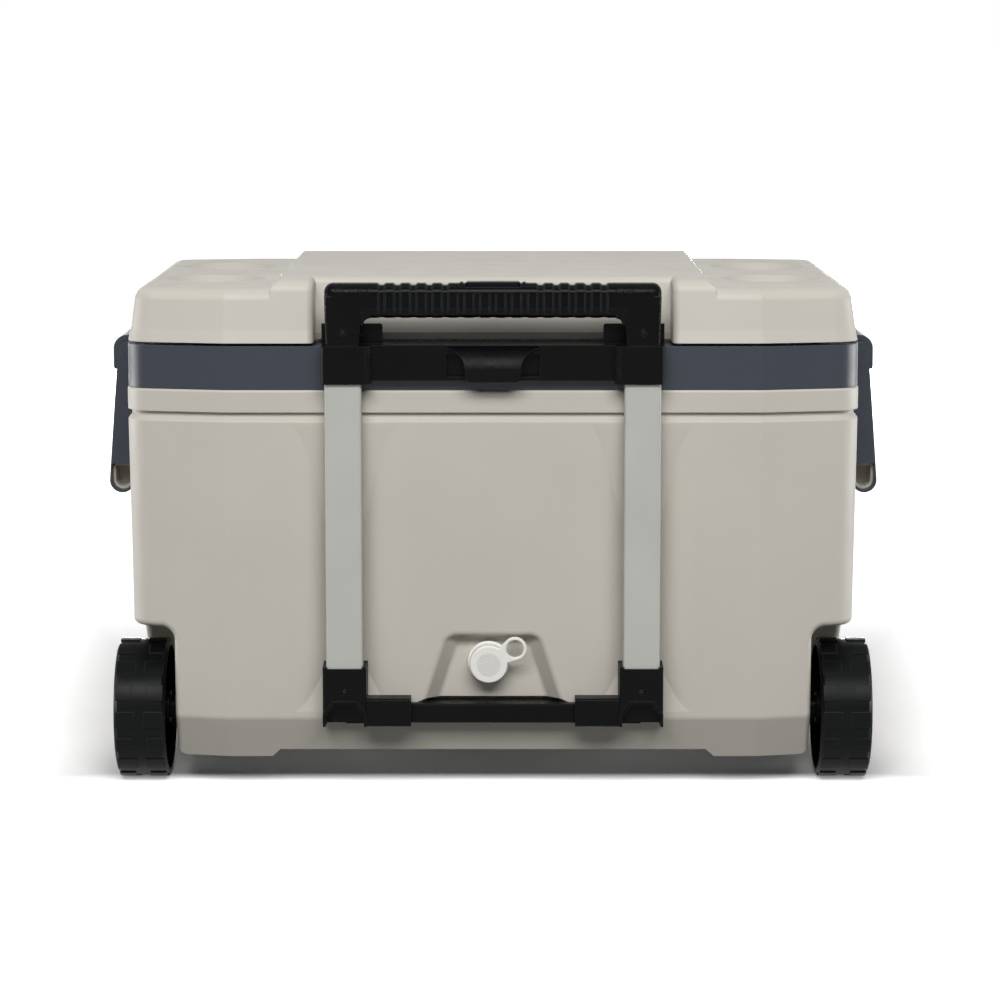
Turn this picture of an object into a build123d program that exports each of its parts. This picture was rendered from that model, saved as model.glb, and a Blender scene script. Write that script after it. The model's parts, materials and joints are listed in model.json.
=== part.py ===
from build123d import *
import math
import os

os.makedirs("parts", exist_ok=True)

# Sizes in millimetres. +X is to the right of the handle side, +Y leads away from it, +Z is up.

# Box outline seen from above
BODY_WIDTH = 680.0
BODY_DEPTH = 430.0
FLAT_LENGTH = 496.0
FACET_ANGLE = 12.0
CORNER_RADIUS = 30.0
DRAFT = 0.75

# Heights of the box
SHELL_TOP_Z = 377.0
CREASE_Z = 69.0
UNDERSIDE_Z = 28.7
UNDERCUT = 19.0
CREASE_RADIUS = 9.0
SHELL_EDGE_RADIUS = 2.5
BAND_HEIGHT = 40.0
LID_GAP = 2.6
LID_HEIGHT = 50.4
LID_RAISE = 8.0

# Walls
SHELL_WALL = 2.5
LINER_WALL = 2.0
BAND_WALL = 3.0
BAND_INSET = 1.0
RIM_LEDGE = 12.0
CREASE_EXTRA = 1.0
END_WALL = 60.0
SIDE_WALL = 55.0

# Inside of the box
CAVITY_RADIUS = 28.0
CAVITY_FLOOR_RADIUS = 12.0

# Groove below the rim strip
GROOVE_Z = 347.0
GROOVE_HEIGHT = 9.0
GROOVE_DEPTH = 4.0

# Soft valleys behind the handle tubes, running out at both ends
VALLEY_HALF_WIDTH = 54.0
VALLEY_DEPTH = 9.0
VALLEY_WALL = 6.0
VALLEY_SKIM = 0.2
VALLEY_FADE = 130.0
VALLEY_FOOT_Z = 74.0
VALLEY_FOOT_FADE = 60.0

# Wheels and axle
WHEEL_RADIUS = 66.0
WHEEL_WIDTH = 48.0
WHEEL_INSET = 33.0
AXLE_SETBACK = 75.0
AXLE_RADIUS = 5.0
AXLE_END_GAP = 3.0
AXLE_CHANNEL_GAP = 1.5
AXLE_BEARING = 13.0
WELL_SIDE_GAP = 10.0
WELL_CLEARANCE = 21.0
WELL_EDGE_RADIUS = 6.0
WELL_CORNER_RADIUS = 12.0
WELL_FOOT_RADIUS = 10.0
LUG_COUNT = 16
LUG_RELIEF = 1.2
LUG_HALF_ANGLE = 6.5
LUG_LONG = 18.0
LUG_SHORT = 15.0
LUG_EDGE = 2.0
TREAD_WALL = 6.0
TREAD_CHAMFER = 3.5
WEB_THICKNESS = 5.0
WEB_OFFSET = 4.0
HUB_RADIUS = 15.0
HUB_SETBACK = 8.0
SPOKE_COUNT = 8
SPOKE_WIDTH = 4.0
SPOKE_SETBACK = 10.0
SPACER_RADIUS = 11.0
CAP_EDGE_RADIUS = 2.0

# Feet
FOOT_LENGTH = 133.0
FOOT_STEP = 7.6
REAR_FOOT_WIDTH = 92.0
REAR_FOOT_DEPTH = 120.0
REAR_FOOT_MARGIN = 6.0
REAR_FOOT_SETBACK = 4.0
REAR_FOOT_TAPER = 3.0
REAR_FOOT_RADIUS = 10.0

# Lid
LID_INSET = 2.0
LID_DRAFT = 8.5
LID_WALL = 3.0
LID_EDGE_RADIUS = 13.0
LID_LIP = 0.8
LID_LIP_HEIGHT = 12.0
RAISED_HALF_WIDTH = 196.0
LID_PLUG_DEPTH = 14.0
LID_PLUG_GAP = 6.0
LID_PANEL = 3.5
LID_LAND_INSET = 22.0
DISH_RADIUS = 47.0
DISH_DEPTH = 8.0
DISH_SLOPE = 10.0
DISH_FLOOR_RADIUS = 5.0
DISH_INSET = 76.0
DISH_SPACING = 168.0
NOTCH_LENGTH = 9.0
NOTCH_RADIUS = 2.5
GRIP_RECESS_HALF = 165.0
GRIP_RECESS_DEPTH = 46.0
RECESS_LIP = 0.8
RECESS_LIP_HEIGHT = 7.0
RECESS_EDGE_RADIUS = 7.0
RECESS_TOP_RADIUS = 8.0

# Handle tubes
TUBE_X = 137.0
TUBE_WIDTH = 34.0
TUBE_DEPTH = 18.0
TUBE_WALL = 1.2
TUBE_RADIUS = 3.0
TUBE_STANDOFF = 3.0
TUBE_FOOT_Z = 110.0
SLIDE_GAP = 0.3
STAGE_FOOT_STEP = 3.0
BUSH_HEIGHT = 8.0
BUSH_GAP = 2.0
COLLAR_LAND = 5.0
STAGE_TOP_GAP = 1.0
TUBE_INSERTION = 5.5

# Lock at the foot of each inner tube
LOCK_BLOCK_HEIGHT = 24.0
LOCK_PIN_RADIUS = 2.5
LOCK_PIN_LENGTH = 9.5
LOCK_PIN_RISE = 10.0
LOCK_PIN_TRAVEL = 3.0

# Upper bracket of the handle
BRACKET_WALL = 3.0
BRACKET_WIDTH = 40.5
COLLAR_HEIGHT = 35.0
COLLAR_SHOULDER = 5.0
COLLAR_CHAMFER = 5.0
COLLAR_OUTER_CHAMFER = 2.5
FLANGE_THICKNESS = 2.2
FLANGE_REACH = 40.0
PANEL_THICKNESS = 11.0
PANEL_RISE = 2.4
UPRIGHT_HEIGHT = 21.0
UPRIGHT_WIDTH = 56.0
UPRIGHT_CORNER_RADIUS = 2.5
UPRIGHT_THICKNESS = 4.0
UPRIGHT_SETBACK = 1.5
TONGUE_HALF_WIDTH = 43.0
TONGUE_NECK = 25.8
TONGUE_FOOT = 24.4
TONGUE_THICKNESS = 3.0
TONGUE_CORNER_RADIUS = 4.0
TONGUE_CREASE_RISE = 12.0
TONGUE_RISE = 2.0
TONGUE_BOW_DROP = 12.0
TONGUE_BOW_STEP = 1.5
TONGUE_BOW_BACK = 6.6
POCKET_FLOOR = 3.0
POCKET_TOP_WALL = 6.0

# Lower brackets and crossbar
LOWER_BRACKET_Z = 66.6
LOWER_BRACKET_HEIGHT = 55.5
LOWER_BRACKET_RADIUS = 3.0
LOWER_LIP_DROP = 1.5
LOWER_POCKET_DEPTH = 14.0
LOWER_SLOT_HEIGHT = 2.6
ARCH_PROUD = 0.6
ARCH_HEIGHT = 24.0
ARCH_RIM = 2.5
ARCH_RUN = 9.0
ARCH_DROP = 12.0
SLEEVE_LENGTH = 61.0
SLEEVE_HEIGHT = 26.5
SLEEVE_DROP = 1.0
SLEEVE_SETBACK = 4.0
SLEEVE_BACK = 1.5
SLEEVE_RADIUS = 2.5
BAR_HEIGHT = 18.0
BAR_DEPTH = 10.0
BAR_RISE = 0.5
BAR_RIB_REACH = 17.0
BAR_RIB_INSET = 1.0
BAR_INSERTION = 24.0
BAR_RADIUS = 1.5

# Grip
GRIP_BOTTOM_Z = 444.5
GRIP_HEIGHT = 32.0
GRIP_DEPTH = 28.0
GRIP_HALF_LENGTH = 153.5
GRIP_RADIUS = 10.0
GRIP_END_RADIUS = 8.0
GRIP_WALL = 4.0
GRIP_ROOF = 5.0
GRIP_ROOM_HALF_DEPTH = 7.0
LEG_WIDTH = 35.5
LEG_TAPER_OUT = 1.0
LEG_TAPER_IN = 3.0
LEG_WALL = 3.0
LEG_RADIUS = 4.0
LEG_OVERLAP = 12.0
KNUCKLE_RADIUS = 6.0
RIB_COUNT = 15
RIB_PITCH = 14.45
RIB_STEPS = ((7.0, 0.8), (4.4, 1.8))
RIB_BUTTON_DROP = 9.0
RIB_FOOT_SHARE = 0.3
LEG_SCREW_RISE = 13.0

# Release
BUTTON_LENGTH = 49.0
BUTTON_DEPTH = 18.0
BUTTON_RISE = 1.2
BUTTON_TRAVEL = 4.0
BUTTON_GAP = 0.4
BUTTON_RADIUS = 3.0
BUTTON_EDGE_RADIUS = 1.2
STUD_SIZE = 3.0
STUD_LENGTH = 10.0
STUD_GAP = 4.0
YOKE_RISE = 12.0
YOKE_HEIGHT = 6.0
YOKE_DEPTH = 8.0
YOKE_OVERHANG = 4.0
ROD_RADIUS = 2.5
ROD_OFFSET = 7.0
ROD_FLOOR = 4.0
SPRING_RADIUS = 3.5
SPRING_WIRE = 0.5
SPRING_TURNS = 4

# Drain
DRAIN_X = -4.0
DRAIN_Z = 121.0
DRAIN_BORE_RADIUS = 8.0
DRAIN_WALL = 3.0
DRAIN_WASHER_RADIUS = 15.0
DRAIN_FLOOR_MARGIN = 1.0
DRAIN_HEAD_RADIUS = 17.7
DRAIN_RECESS_DEPTH = 14.0
DRAIN_RECESS_TOP_Z = 146.5
DRAIN_RECESS_TOP_HALF = 44.0
DRAIN_RECESS_LOW_HALF = 64.0
DRAIN_RECESS_RADIUS = 9.0
DRAIN_RECESS_TAPER = 14.0
DRAIN_TOP_TAPER = 1.5
DRAIN_FLOOR_RADIUS = 6.0
DRAIN_EDGE_RADIUS = 6.0
BAR_SLOT_TOP_Z = 87.5
BAR_SLOT_TOP_HALF = 63.0
BAR_SLOT_RAMP = 5.5
BAR_SLOT_DEPTH = 24.0
BAR_SLOT_LIFT = 3.0
SPOUT_FLANGE = 6.0
SPOUT_FLANGE_RADIUS = 19.7
SPOUT_EDGE = 1.0
SPOUT_END = 2.0
WASHER_THICKNESS = 2.0
NUT_HEIGHT = 6.0
NUT_OVERHANG = 1.0
PLUG_HEAD = 13.0
PLUG_SHANK = 22.0
PLUG_EDGE = 1.5
PLUG_FIT = 0.2
RING_OUTER = 11.0
RING_INNER = 8.0
RING_THICKNESS = 4.0
RING_ANGLE = 31.0
RING_OVERLAP = 0.3
RING_NECK_RADIUS = 6.0

# Side handles
SIDE_STANDOFF = 30.5
SIDE_PIVOT_Z = 398.0
SIDE_PIVOT_GAP = 4.0
SIDE_PIN_RADIUS = 4.0
SIDE_PIN_COVER = 3.0
SIDE_ARM_LENGTH = 124.5
SIDE_ARM_THICKNESS = 13.0
SIDE_ARM_TOP_RADIUS = 9.0
SIDE_GRIP_RADIUS = 12.0
SIDE_GRIP_STRAIGHT = 16.0
SIDE_GRIP_EDGE = 5.0
SIDE_GRIP_SINK = 9.0
SIDE_GRIP_WALL = 2.5
SIDE_GRIP_HOLLOW = 25.0
CHANNEL_WALL = 2.5
MOUNT_HALF_LENGTH = 52.0
MOUNT_HEIGHT = 33.0
MOUNT_DROP = 18.0
MOUNT_RADIUS = 13.0
MOUNT_STEP = 4.0
MOUNT_WALL = 4.0
MOUNT_END_WALL = 6.0
MOUNT_ROOF = 8.0
MOUNT_PLATE = 4.5
MOUNT_ARM_GAP = 1.0

# Lid hinges
HINGE_X = 190.0
HINGE_WIDTH = 56.0
HINGE_PLATE = 3.5
HINGE_BARREL_RADIUS = 6.5
HINGE_PIN_RADIUS = 3.0
HINGE_OFFSET = 9.0
KNUCKLE_WIDTH = 27.6
KNUCKLE_GAP = 0.4
HINGE_BASE_LOW = 6.0
HINGE_BASE_TOP_GAP = 5.0
HINGE_BLOCK_HEIGHT = 16.0
LEAF_LIFT = 0.6
LEAF_KNEE = 3.0
LEAF_HEIGHT = 33.0

# Screws and where they sit
SCREW_HEAD_RADIUS = 3.2
SCREW_HEAD_HEIGHT = 2.2
SCREW_SHANK_RADIUS = 1.8
SCREW_SLOT_WIDTH = 0.9
SCREW_SLOT_DEPTH = 0.8
SCREW_BITE = 2.5
FLANGE_SCREW_EDGE = 12.0
FLANGE_SCREW_SPACING = 22.0
LOWER_SCREW_RISE = 33.0
LOWER_SCREW_SINK = 3.0
HINGE_SCREW_SPACING = 37.0
HINGE_SCREW_RISE = 16.0
LEAF_SCREW_RISE = 21.2
MOUNT_SCREW_SPACING = 52.0
MOUNT_SCREW_DROP = 11.0

# Fits: close, turning and loose clearances, a small overlap for joining, and a long one for cuts
FIT = 0.05
TURN_FIT = 0.08
GAP = 0.3
OVERLAP = 1.0
OVERCUT = 20.0

# Positions that follow from the sizes
CAVITY_WIDTH = BODY_WIDTH - 2 * END_WALL
CAVITY_DEPTH = BODY_DEPTH - 2 * SIDE_WALL
BAND_TOP_Z = SHELL_TOP_Z + BAND_HEIGHT
LID_BOTTOM_Z = BAND_TOP_Z + LID_GAP
PLATFORM_Z = LID_BOTTOM_Z + LID_HEIGHT
LID_TOP_Z = PLATFORM_Z + LID_RAISE
SEAL_Z = BAND_TOP_Z + GAP
FRONT_REACH = TUBE_STANDOFF + TUBE_DEPTH + BRACKET_WALL + ARCH_PROUD
BACK_REACH = HINGE_OFFSET + HINGE_BARREL_RADIUS
MID_Y = (FRONT_REACH - BACK_REACH) / 2
FRONT = MID_Y - BODY_DEPTH / 2
BACK = MID_Y + BODY_DEPTH / 2
CAVITY_FRONT = MID_Y - CAVITY_DEPTH / 2
TUBE_Y = FRONT - TUBE_STANDOFF - TUBE_DEPTH / 2
TUBE_FRONT = TUBE_Y - TUBE_DEPTH / 2
TUBE_BACK = TUBE_Y + TUBE_DEPTH / 2
AXLE_Y = FRONT + AXLE_SETBACK
BRACKET_FRONT = TUBE_FRONT - BRACKET_WALL
WHEEL_INNER_X = BODY_WIDTH / 2 - WHEEL_INSET
WHEEL_OUTER_X = WHEEL_INNER_X + WHEEL_WIDTH
WELL_INNER_X = WHEEL_INNER_X - WELL_SIDE_GAP
FOOT_INNER_X = BODY_WIDTH / 2 - FOOT_LENGTH
COLLAR_TOP_Z = BAND_TOP_Z + FLANGE_THICKNESS
COLLAR_LOW_Z = COLLAR_TOP_Z - COLLAR_HEIGHT
MIDDLE_FOOT_Z = TUBE_FOOT_Z + STAGE_FOOT_STEP
INNER_FOOT_Z = MIDDLE_FOOT_Z + BUSH_HEIGHT + BUSH_GAP
OUTER_TOP_Z = COLLAR_TOP_Z - COLLAR_LAND
MIDDLE_TOP_Z = COLLAR_TOP_Z - STAGE_TOP_GAP
INNER_TOP_Z = GRIP_BOTTOM_Z + TUBE_INSERTION
INNER_HALF_WIDTH = TUBE_WIDTH / 2 - 2 * (TUBE_WALL + SLIDE_GAP)
LOCK_PIN_Z = INNER_FOOT_Z + LOCK_PIN_RISE
GRIP_TOP_Z = GRIP_BOTTOM_Z + GRIP_HEIGHT
GRIP_Y = BRACKET_FRONT + GRIP_DEPTH / 2
GRIP_FLOOR_Z = GRIP_BOTTOM_Z + GRIP_WALL
GRIP_ROOF_Z = GRIP_TOP_Z - GRIP_ROOF
LEG_BOTTOM_Z = COLLAR_TOP_Z + GAP
LEG_SCREW_Z = COLLAR_TOP_Z + LEG_SCREW_RISE
YOKE_Z = GRIP_BOTTOM_Z + YOKE_RISE
YOKE_HALF_LENGTH = TUBE_X - ROD_OFFSET + YOKE_OVERHANG
SLEEVE_END_X = TUBE_X - SLEEVE_LENGTH
BAR_END_X = SLEEVE_END_X + BAR_INSERTION
BAR_Y = FRONT + SLEEVE_BACK - FIT - BAR_DEPTH
BAR_Z = LOWER_BRACKET_Z + BAR_RISE
DISH_X = BODY_WIDTH / 2 - DISH_INSET
CAVITY_FLOOR_Z = DRAIN_Z - DRAIN_WASHER_RADIUS - CAVITY_FLOOR_RADIUS - DRAIN_FLOOR_MARGIN
HINGE_Y = BACK + HINGE_OFFSET
HINGE_Z = BAND_TOP_Z + LID_GAP / 2
BAND_SIDE_X = BODY_WIDTH / 2 - BAND_INSET
SIDE_REACH = BODY_WIDTH / 2 + SIDE_STANDOFF
SIDE_GRIP_X = SIDE_REACH - SIDE_GRIP_RADIUS
SIDE_PIVOT_X = BAND_SIDE_X + SIDE_ARM_TOP_RADIUS + SIDE_PIVOT_GAP
SIDE_GRIP_Z = SIDE_PIVOT_Z - SIDE_ARM_LENGTH
ARM_INNER_Y = MOUNT_HALF_LENGTH + MOUNT_ARM_GAP
ARM_OUTER_Y = ARM_INNER_Y + SIDE_ARM_THICKNESS
SLOPE = math.tan(math.radians(DRAFT))
LID_SLOPE = math.tan(math.radians(LID_DRAFT))


# Shared helpers

def draft_inset(z):
    """How far the body's wall stands in at a height, from its draft."""
    return (SHELL_TOP_Z - z) * SLOPE


def face_y(z):
    """Front face of the body at a height."""
    return FRONT + draft_inset(z)


SEAT_Y = face_y(CREASE_Z) + VALLEY_DEPTH
DRAIN_FLOOR_Y = face_y(DRAIN_Z) + DRAIN_RECESS_DEPTH


def block(x_low, x_high, y_low, y_high, z_low, z_high):
    """Box between two corners."""
    size = Box(x_high - x_low, y_high - y_low, z_high - z_low)
    return Pos((x_low + x_high) / 2, (y_low + y_high) / 2, (z_low + z_high) / 2) * size


def rod_x(x_low, x_high, y, z, radius):
    """Cylinder along X."""
    return Pos((x_low + x_high) / 2, y, z) * Rot(0, 90, 0) * Cylinder(radius, x_high - x_low)


def rod_y(y_low, y_high, x, z, radius):
    """Cylinder along Y."""
    return Pos(x, (y_low + y_high) / 2, z) * Rot(90, 0, 0) * Cylinder(radius, y_high - y_low)


def rod_z(z_low, z_high, x, y, radius):
    """Cylinder along Z."""
    return Pos(x, y, (z_low + z_high) / 2) * Cylinder(radius, z_high - z_low)


def front_face(points, y):
    """Face drawn in the front view, at a depth."""
    return make_face(Polyline(*[(x, y, z) for x, z in points], close=True))


def front_prism(points, y_low, y_high):
    """Solid drawn in the front view, between two depths."""
    return extrude(front_face(points, y_low), amount=y_high - y_low, dir=(0, 1, 0))


def side_prism(points, x_low, x_high):
    """Solid drawn in the side view (Y, Z), between two widths."""
    face = make_face(Polyline(*[(x_low, y, z) for y, z in points], close=True))
    return extrude(face, amount=x_high - x_low, dir=(1, 0, 0))


def mirrored(points):
    """Right-hand points of an outline, followed by their mirror images."""
    return points + [(-x, z) for x, z in reversed(points)]


def plan(inset):
    """Outline of the box seen from above, moved in by an inset."""
    half_width = BODY_WIDTH / 2 - inset
    half_depth = BODY_DEPTH / 2 - inset
    facet = math.radians(FACET_ANGLE)
    flat = FLAT_LENGTH / 2 - inset * math.tan(facet / 2)
    side = half_depth - (half_width - flat) * math.tan(facet)
    right = [(flat, half_depth), (half_width, side), (half_width, -side), (flat, -half_depth)]
    face = make_face(Polyline(*mirrored(right), close=True))
    corners = [v for v in face.vertices() if abs(v.X) > flat + OVERLAP]
    return Pos(0, MID_Y) * fillet(corners, CORNER_RADIUS - inset)


def frustum(low_inset, low_z, high_inset, high_z):
    """Solid between two outlines of the box."""
    return loft([Pos(0, 0, low_z) * plan(low_inset), Pos(0, 0, high_z) * plan(high_inset)], ruled=True)


def prism(inset, low_z, high_z):
    """Upright solid on one outline of the box."""
    return extrude(Pos(0, 0, low_z) * plan(inset), amount=high_z - low_z)


def loop_edges(solid, z):
    """Edges of a solid that lie level at a height."""
    spans = [(e, e.bounding_box()) for e in solid.edges()]
    return [e for e, span in spans if span.min.Z > z - FIT and span.max.Z < z + FIT]


def rounded_box(width, depth, radius, z_low, z_high):
    """Upright box with rounded corners, centred on the origin."""
    return extrude(Pos(0, 0, z_low) * RectangleRounded(width, depth, radius), amount=z_high - z_low)


def on_both_sides(shape):
    """A piece at the right together with its mirror image."""
    return Compound(children=[shape, mirror(shape, about=Plane.YZ)])


def at_side(shape, side):
    """A piece made for the right, or its mirror image for the left."""
    return shape if side > 0 else mirror(shape, about=Plane.YZ)


def screw(length):
    """Pan head screw standing on the plane Z = 0, with a cross slot."""
    head = Pos(0, 0, SCREW_HEAD_HEIGHT / 2) * Cylinder(SCREW_HEAD_RADIUS, SCREW_HEAD_HEIGHT)
    head = fillet(head.edges().sort_by(Axis.Z)[-1:], SCREW_HEAD_HEIGHT / 2)
    shank = Pos(0, 0, -length / 2) * Cylinder(SCREW_SHANK_RADIUS, length)
    slot = Box(SCREW_HEAD_RADIUS, SCREW_SLOT_WIDTH, 2 * SCREW_SLOT_DEPTH)
    cross = slot + Rot(0, 0, 90) * slot
    return head + shank - Pos(0, 0, SCREW_HEAD_HEIGHT) * cross


def screw_hole(length):
    """Hole for the shank of a screw."""
    return Pos(0, 0, -length / 2) * Cylinder(SCREW_SHANK_RADIUS + FIT, length + 2 * GAP)


def head_hole():
    """Hole that lets the head of a sunk screw in."""
    return Pos(0, 0, OVERCUT / 2) * Cylinder(SCREW_HEAD_RADIUS + FIT, OVERCUT)


def screw_group(places, length):
    """The same screw at several places."""
    return Compound(children=[place * screw(length) for place in places])


# Places of the screws: each is where the head sits, with +Z of the place pointing out of the head

UPPER_SCREW_LENGTH = FLANGE_THICKNESS + LINER_WALL
LOWER_SCREW_LENGTH = SEAT_Y - BRACKET_FRONT - LOWER_SCREW_SINK + SCREW_BITE
HINGE_SCREW_LENGTH = HINGE_PLATE + SCREW_BITE
MOUNT_SCREW_LENGTH = MOUNT_PLATE + SCREW_BITE
LEG_SCREW_LENGTH = TUBE_DEPTH


def upper_screw_places():
    y = FRONT + FLANGE_REACH - FLANGE_SCREW_EDGE
    step = FLANGE_SCREW_SPACING / 2
    return [Pos(side * TUBE_X + dx, y, COLLAR_TOP_Z) for side in (-1, 1) for dx in (-step, step)]


def lower_screw_places():
    y = BRACKET_FRONT + LOWER_SCREW_SINK
    return [Pos(x, y, LOWER_BRACKET_Z + LOWER_SCREW_RISE) * Rot(90, 0, 0) for x in (-TUBE_X, TUBE_X)]


def hinge_columns():
    """Where the screws of both hinges stand, from left to right."""
    step = HINGE_SCREW_SPACING / 2
    return [side * HINGE_X + dx for side in (-1, 1) for dx in (-step, step)]


def hinge_base_places():
    y = BACK - BAND_INSET + HINGE_PLATE
    return [Pos(x, y, SHELL_TOP_Z + HINGE_SCREW_RISE) * Rot(-90, 0, 0) for x in hinge_columns()]


def hinge_leaf_places():
    z = LID_BOTTOM_Z + LEAF_SCREW_RISE
    y = lid_back(z) + HINGE_PLATE
    return [Pos(x, y, z) * Rot(LID_DRAFT - 90, 0, 0) for x in hinge_columns()]


def mount_screw_places():
    places = []
    for side in (-1, 1):
        for dy in (-MOUNT_SCREW_SPACING / 2, MOUNT_SCREW_SPACING / 2):
            place = Pos(side * (BAND_SIDE_X + MOUNT_PLATE), MID_Y + dy, SIDE_PIVOT_Z - MOUNT_SCREW_DROP)
            places.append(place * Rot(0, side * 90, 0))
    return places


def leg_screw_places():
    return [Pos(side * TUBE_X, TUBE_FRONT, LEG_SCREW_Z) * Rot(90, 0, 0) for side in (-1, 1)]


# Cuts that shape the body; grow makes the same cut larger, to leave a wall behind it

def wheel_well(side, grow):
    """Room for one wheel, open to the front, the outside and below."""
    radius = WHEEL_RADIUS + WELL_CLEARANCE + grow
    inner = WELL_INNER_X - grow
    outer = BODY_WIDTH / 2 + OVERCUT
    well = rod_x(inner, outer, AXLE_Y, WHEEL_RADIUS, radius)
    well += block(inner, outer, FRONT - OVERCUT, AXLE_Y, -OVERCUT, WHEEL_RADIUS + radius)
    well += block(inner, outer, AXLE_Y - OVERLAP, AXLE_Y + radius, -OVERCUT, WHEEL_RADIUS)
    inner_face = well.faces().sort_by(Axis.X)[0]
    rim = [e for e in inner_face.edges() if e.center().Z > WHEEL_RADIUS + OVERLAP]
    return at_side(fillet(rim, WELL_CORNER_RADIUS), side)


def valley(side, grow):
    """Soft channel behind one tube, made of arcs that run into each other."""
    half = VALLEY_HALF_WIDTH
    radius = (half**2 + VALLEY_DEPTH**2) / (4 * VALLEY_DEPTH)
    turn = math.asin(half / 2 / radius) / 2
    low = grow - VALLEY_SKIM
    edge_mid = (half - radius * math.sin(turn), low + radius * (1 - math.cos(turn)))
    bend = (half / 2, low + VALLEY_DEPTH / 2)
    right = ThreePointArc((half, low), edge_mid, bend)
    middle = ThreePointArc(bend, (0, low + VALLEY_DEPTH), (-bend[0], bend[1]))
    left = ThreePointArc((-bend[0], bend[1]), (-edge_mid[0], edge_mid[1]), (-half, low))
    front = Polyline((-half, low), (-half, -OVERCUT), (half, -OVERCUT), (half, low))
    face = make_face([*right.edges(), *middle.edges(), *left.edges(), *front.edges()])
    lean = math.radians(DRAFT)
    start_z = CREASE_Z - 2 * OVERCUT
    along = Plane(
        origin=(side * TUBE_X, face_y(start_z), start_z),
        x_dir=(1, 0, 0),
        z_dir=(0, -math.sin(lean), math.cos(lean)),
    )
    channel = extrude(along * face, amount=GROOVE_Z + GROOVE_HEIGHT / 2 - start_z)
    for ramp in valley_ramps(grow):
        channel -= side_prism(ramp, side * TUBE_X - half - OVERLAP, side * TUBE_X + half + OVERLAP)
    return channel


def valley_ramps(grow):
    """Side-view outlines that let a valley run out at its top and its foot."""
    deep = VALLEY_DEPTH + grow + OVERLAP
    behind = face_y(VALLEY_FOOT_Z) + deep + OVERCUT
    outlines = []
    for end, fade, beyond in (
        (GROOVE_Z, -VALLEY_FADE, OVERCUT),
        (VALLEY_FOOT_Z, VALLEY_FOOT_FADE, -3 * OVERCUT),
    ):
        shallow = face_y(end) + grow - VALLEY_SKIM
        outlines.append(
            [
                (shallow, end + beyond),
                (shallow, end),
                (face_y(end + fade) + deep, end + fade),
                (behind, end + fade),
                (behind, end + beyond),
            ]
        )
    return outlines


def recess_outline(y, grow, taper, top_taper):
    """Outline of the drain recess at a depth, drawn in by its tapers; wider at the bottom."""
    top = DRAIN_RECESS_TOP_Z + grow - top_taper
    flare = (DRAIN_RECESS_LOW_HALF - DRAIN_RECESS_TOP_HALF) / (DRAIN_RECESS_TOP_Z - BAR_SLOT_TOP_Z)
    low = CREASE_Z + CREASE_RADIUS
    top_half = DRAIN_RECESS_TOP_HALF + grow - taper
    low_half = DRAIN_RECESS_TOP_HALF + flare * (DRAIN_RECESS_TOP_Z - low) + grow - taper
    face = front_face(mirrored([(top_half, top), (low_half, low)]), y)
    upper = [v for v in face.vertices() if v.Z > top - FIT]
    return fillet(upper, DRAIN_RECESS_RADIUS + grow)


def drain_recess(grow):
    """Recess around the drain, with sloping sides."""
    mouth = FRONT - OVERCUT / 2
    deep = DRAIN_FLOOR_Y + grow
    steep = (deep - mouth) / DRAIN_RECESS_DEPTH - 1
    wide = recess_outline(mouth, grow, -DRAIN_RECESS_TAPER * steep, -DRAIN_TOP_TAPER * steep)
    narrow = recess_outline(deep, grow, DRAIN_RECESS_TAPER, DRAIN_TOP_TAPER)
    recess = loft([wide, narrow], ruled=True)
    return fillet(recess.faces().sort_by(Axis.Y)[-1].edges(), DRAIN_FLOOR_RADIUS + grow)


def bar_slot(grow):
    """Slot behind the crossbar, with ramps at both ends."""
    half = SLEEVE_END_X + grow
    top = BAR_SLOT_TOP_Z + grow
    low = CREASE_Z + BAR_SLOT_LIFT - grow
    ramp = BAR_SLOT_TOP_Z - BAR_SLOT_RAMP + grow
    outline = mirrored([(BAR_SLOT_TOP_HALF + grow, top), (half, ramp), (half, low)])
    return front_prism(outline, FRONT - OVERCUT, face_y(CREASE_Z) + BAR_SLOT_DEPTH + grow)


def axle_channel(grow):
    """Channel of the axle in the base, open below, between its bearings beside the wells."""
    half = AXLE_RADIUS + AXLE_CHANNEL_GAP + grow
    reach = WELL_INNER_X - AXLE_BEARING
    if grow:
        reach = WELL_INNER_X
    channel = block(-reach, reach, AXLE_Y - half, AXLE_Y + half, 0, WHEEL_RADIUS)
    return channel + rod_x(-reach, reach, AXLE_Y, WHEEL_RADIUS, half)


def groove(grow):
    """Groove all round below the rim strip, with a sloping lower side."""
    low = GROOVE_Z - grow
    knee = GROOVE_Z + GROOVE_HEIGHT / 2
    high = GROOVE_Z + GROOVE_HEIGHT + grow
    deep = GROOVE_DEPTH + grow
    core = frustum(draft_inset(low) + grow, low, deep, knee) + prism(deep, knee, high)
    return prism(-GROOVE_DEPTH, low, high) - core


def drain_bore(y_low, y_high, radius):
    return rod_y(y_low, y_high, DRAIN_X, DRAIN_Z, radius)


def spout_hole():
    """Hole for the spout through the front wall of the box."""
    return drain_bore(FRONT, MID_Y, DRAIN_BORE_RADIUS + DRAIN_WALL + FIT)


def bracket_seat(side, grow):
    """Pocket in the valley that seats one lower bracket."""
    half = BRACKET_WIDTH / 2 + GAP + grow
    low = LOWER_BRACKET_Z - GAP - grow
    top = LOWER_BRACKET_Z + LOWER_BRACKET_HEIGHT + GAP + grow
    x = side * TUBE_X
    return block(x - half, x + half, BRACKET_FRONT - OVERCUT, SEAT_Y + grow, low, top)


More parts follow.
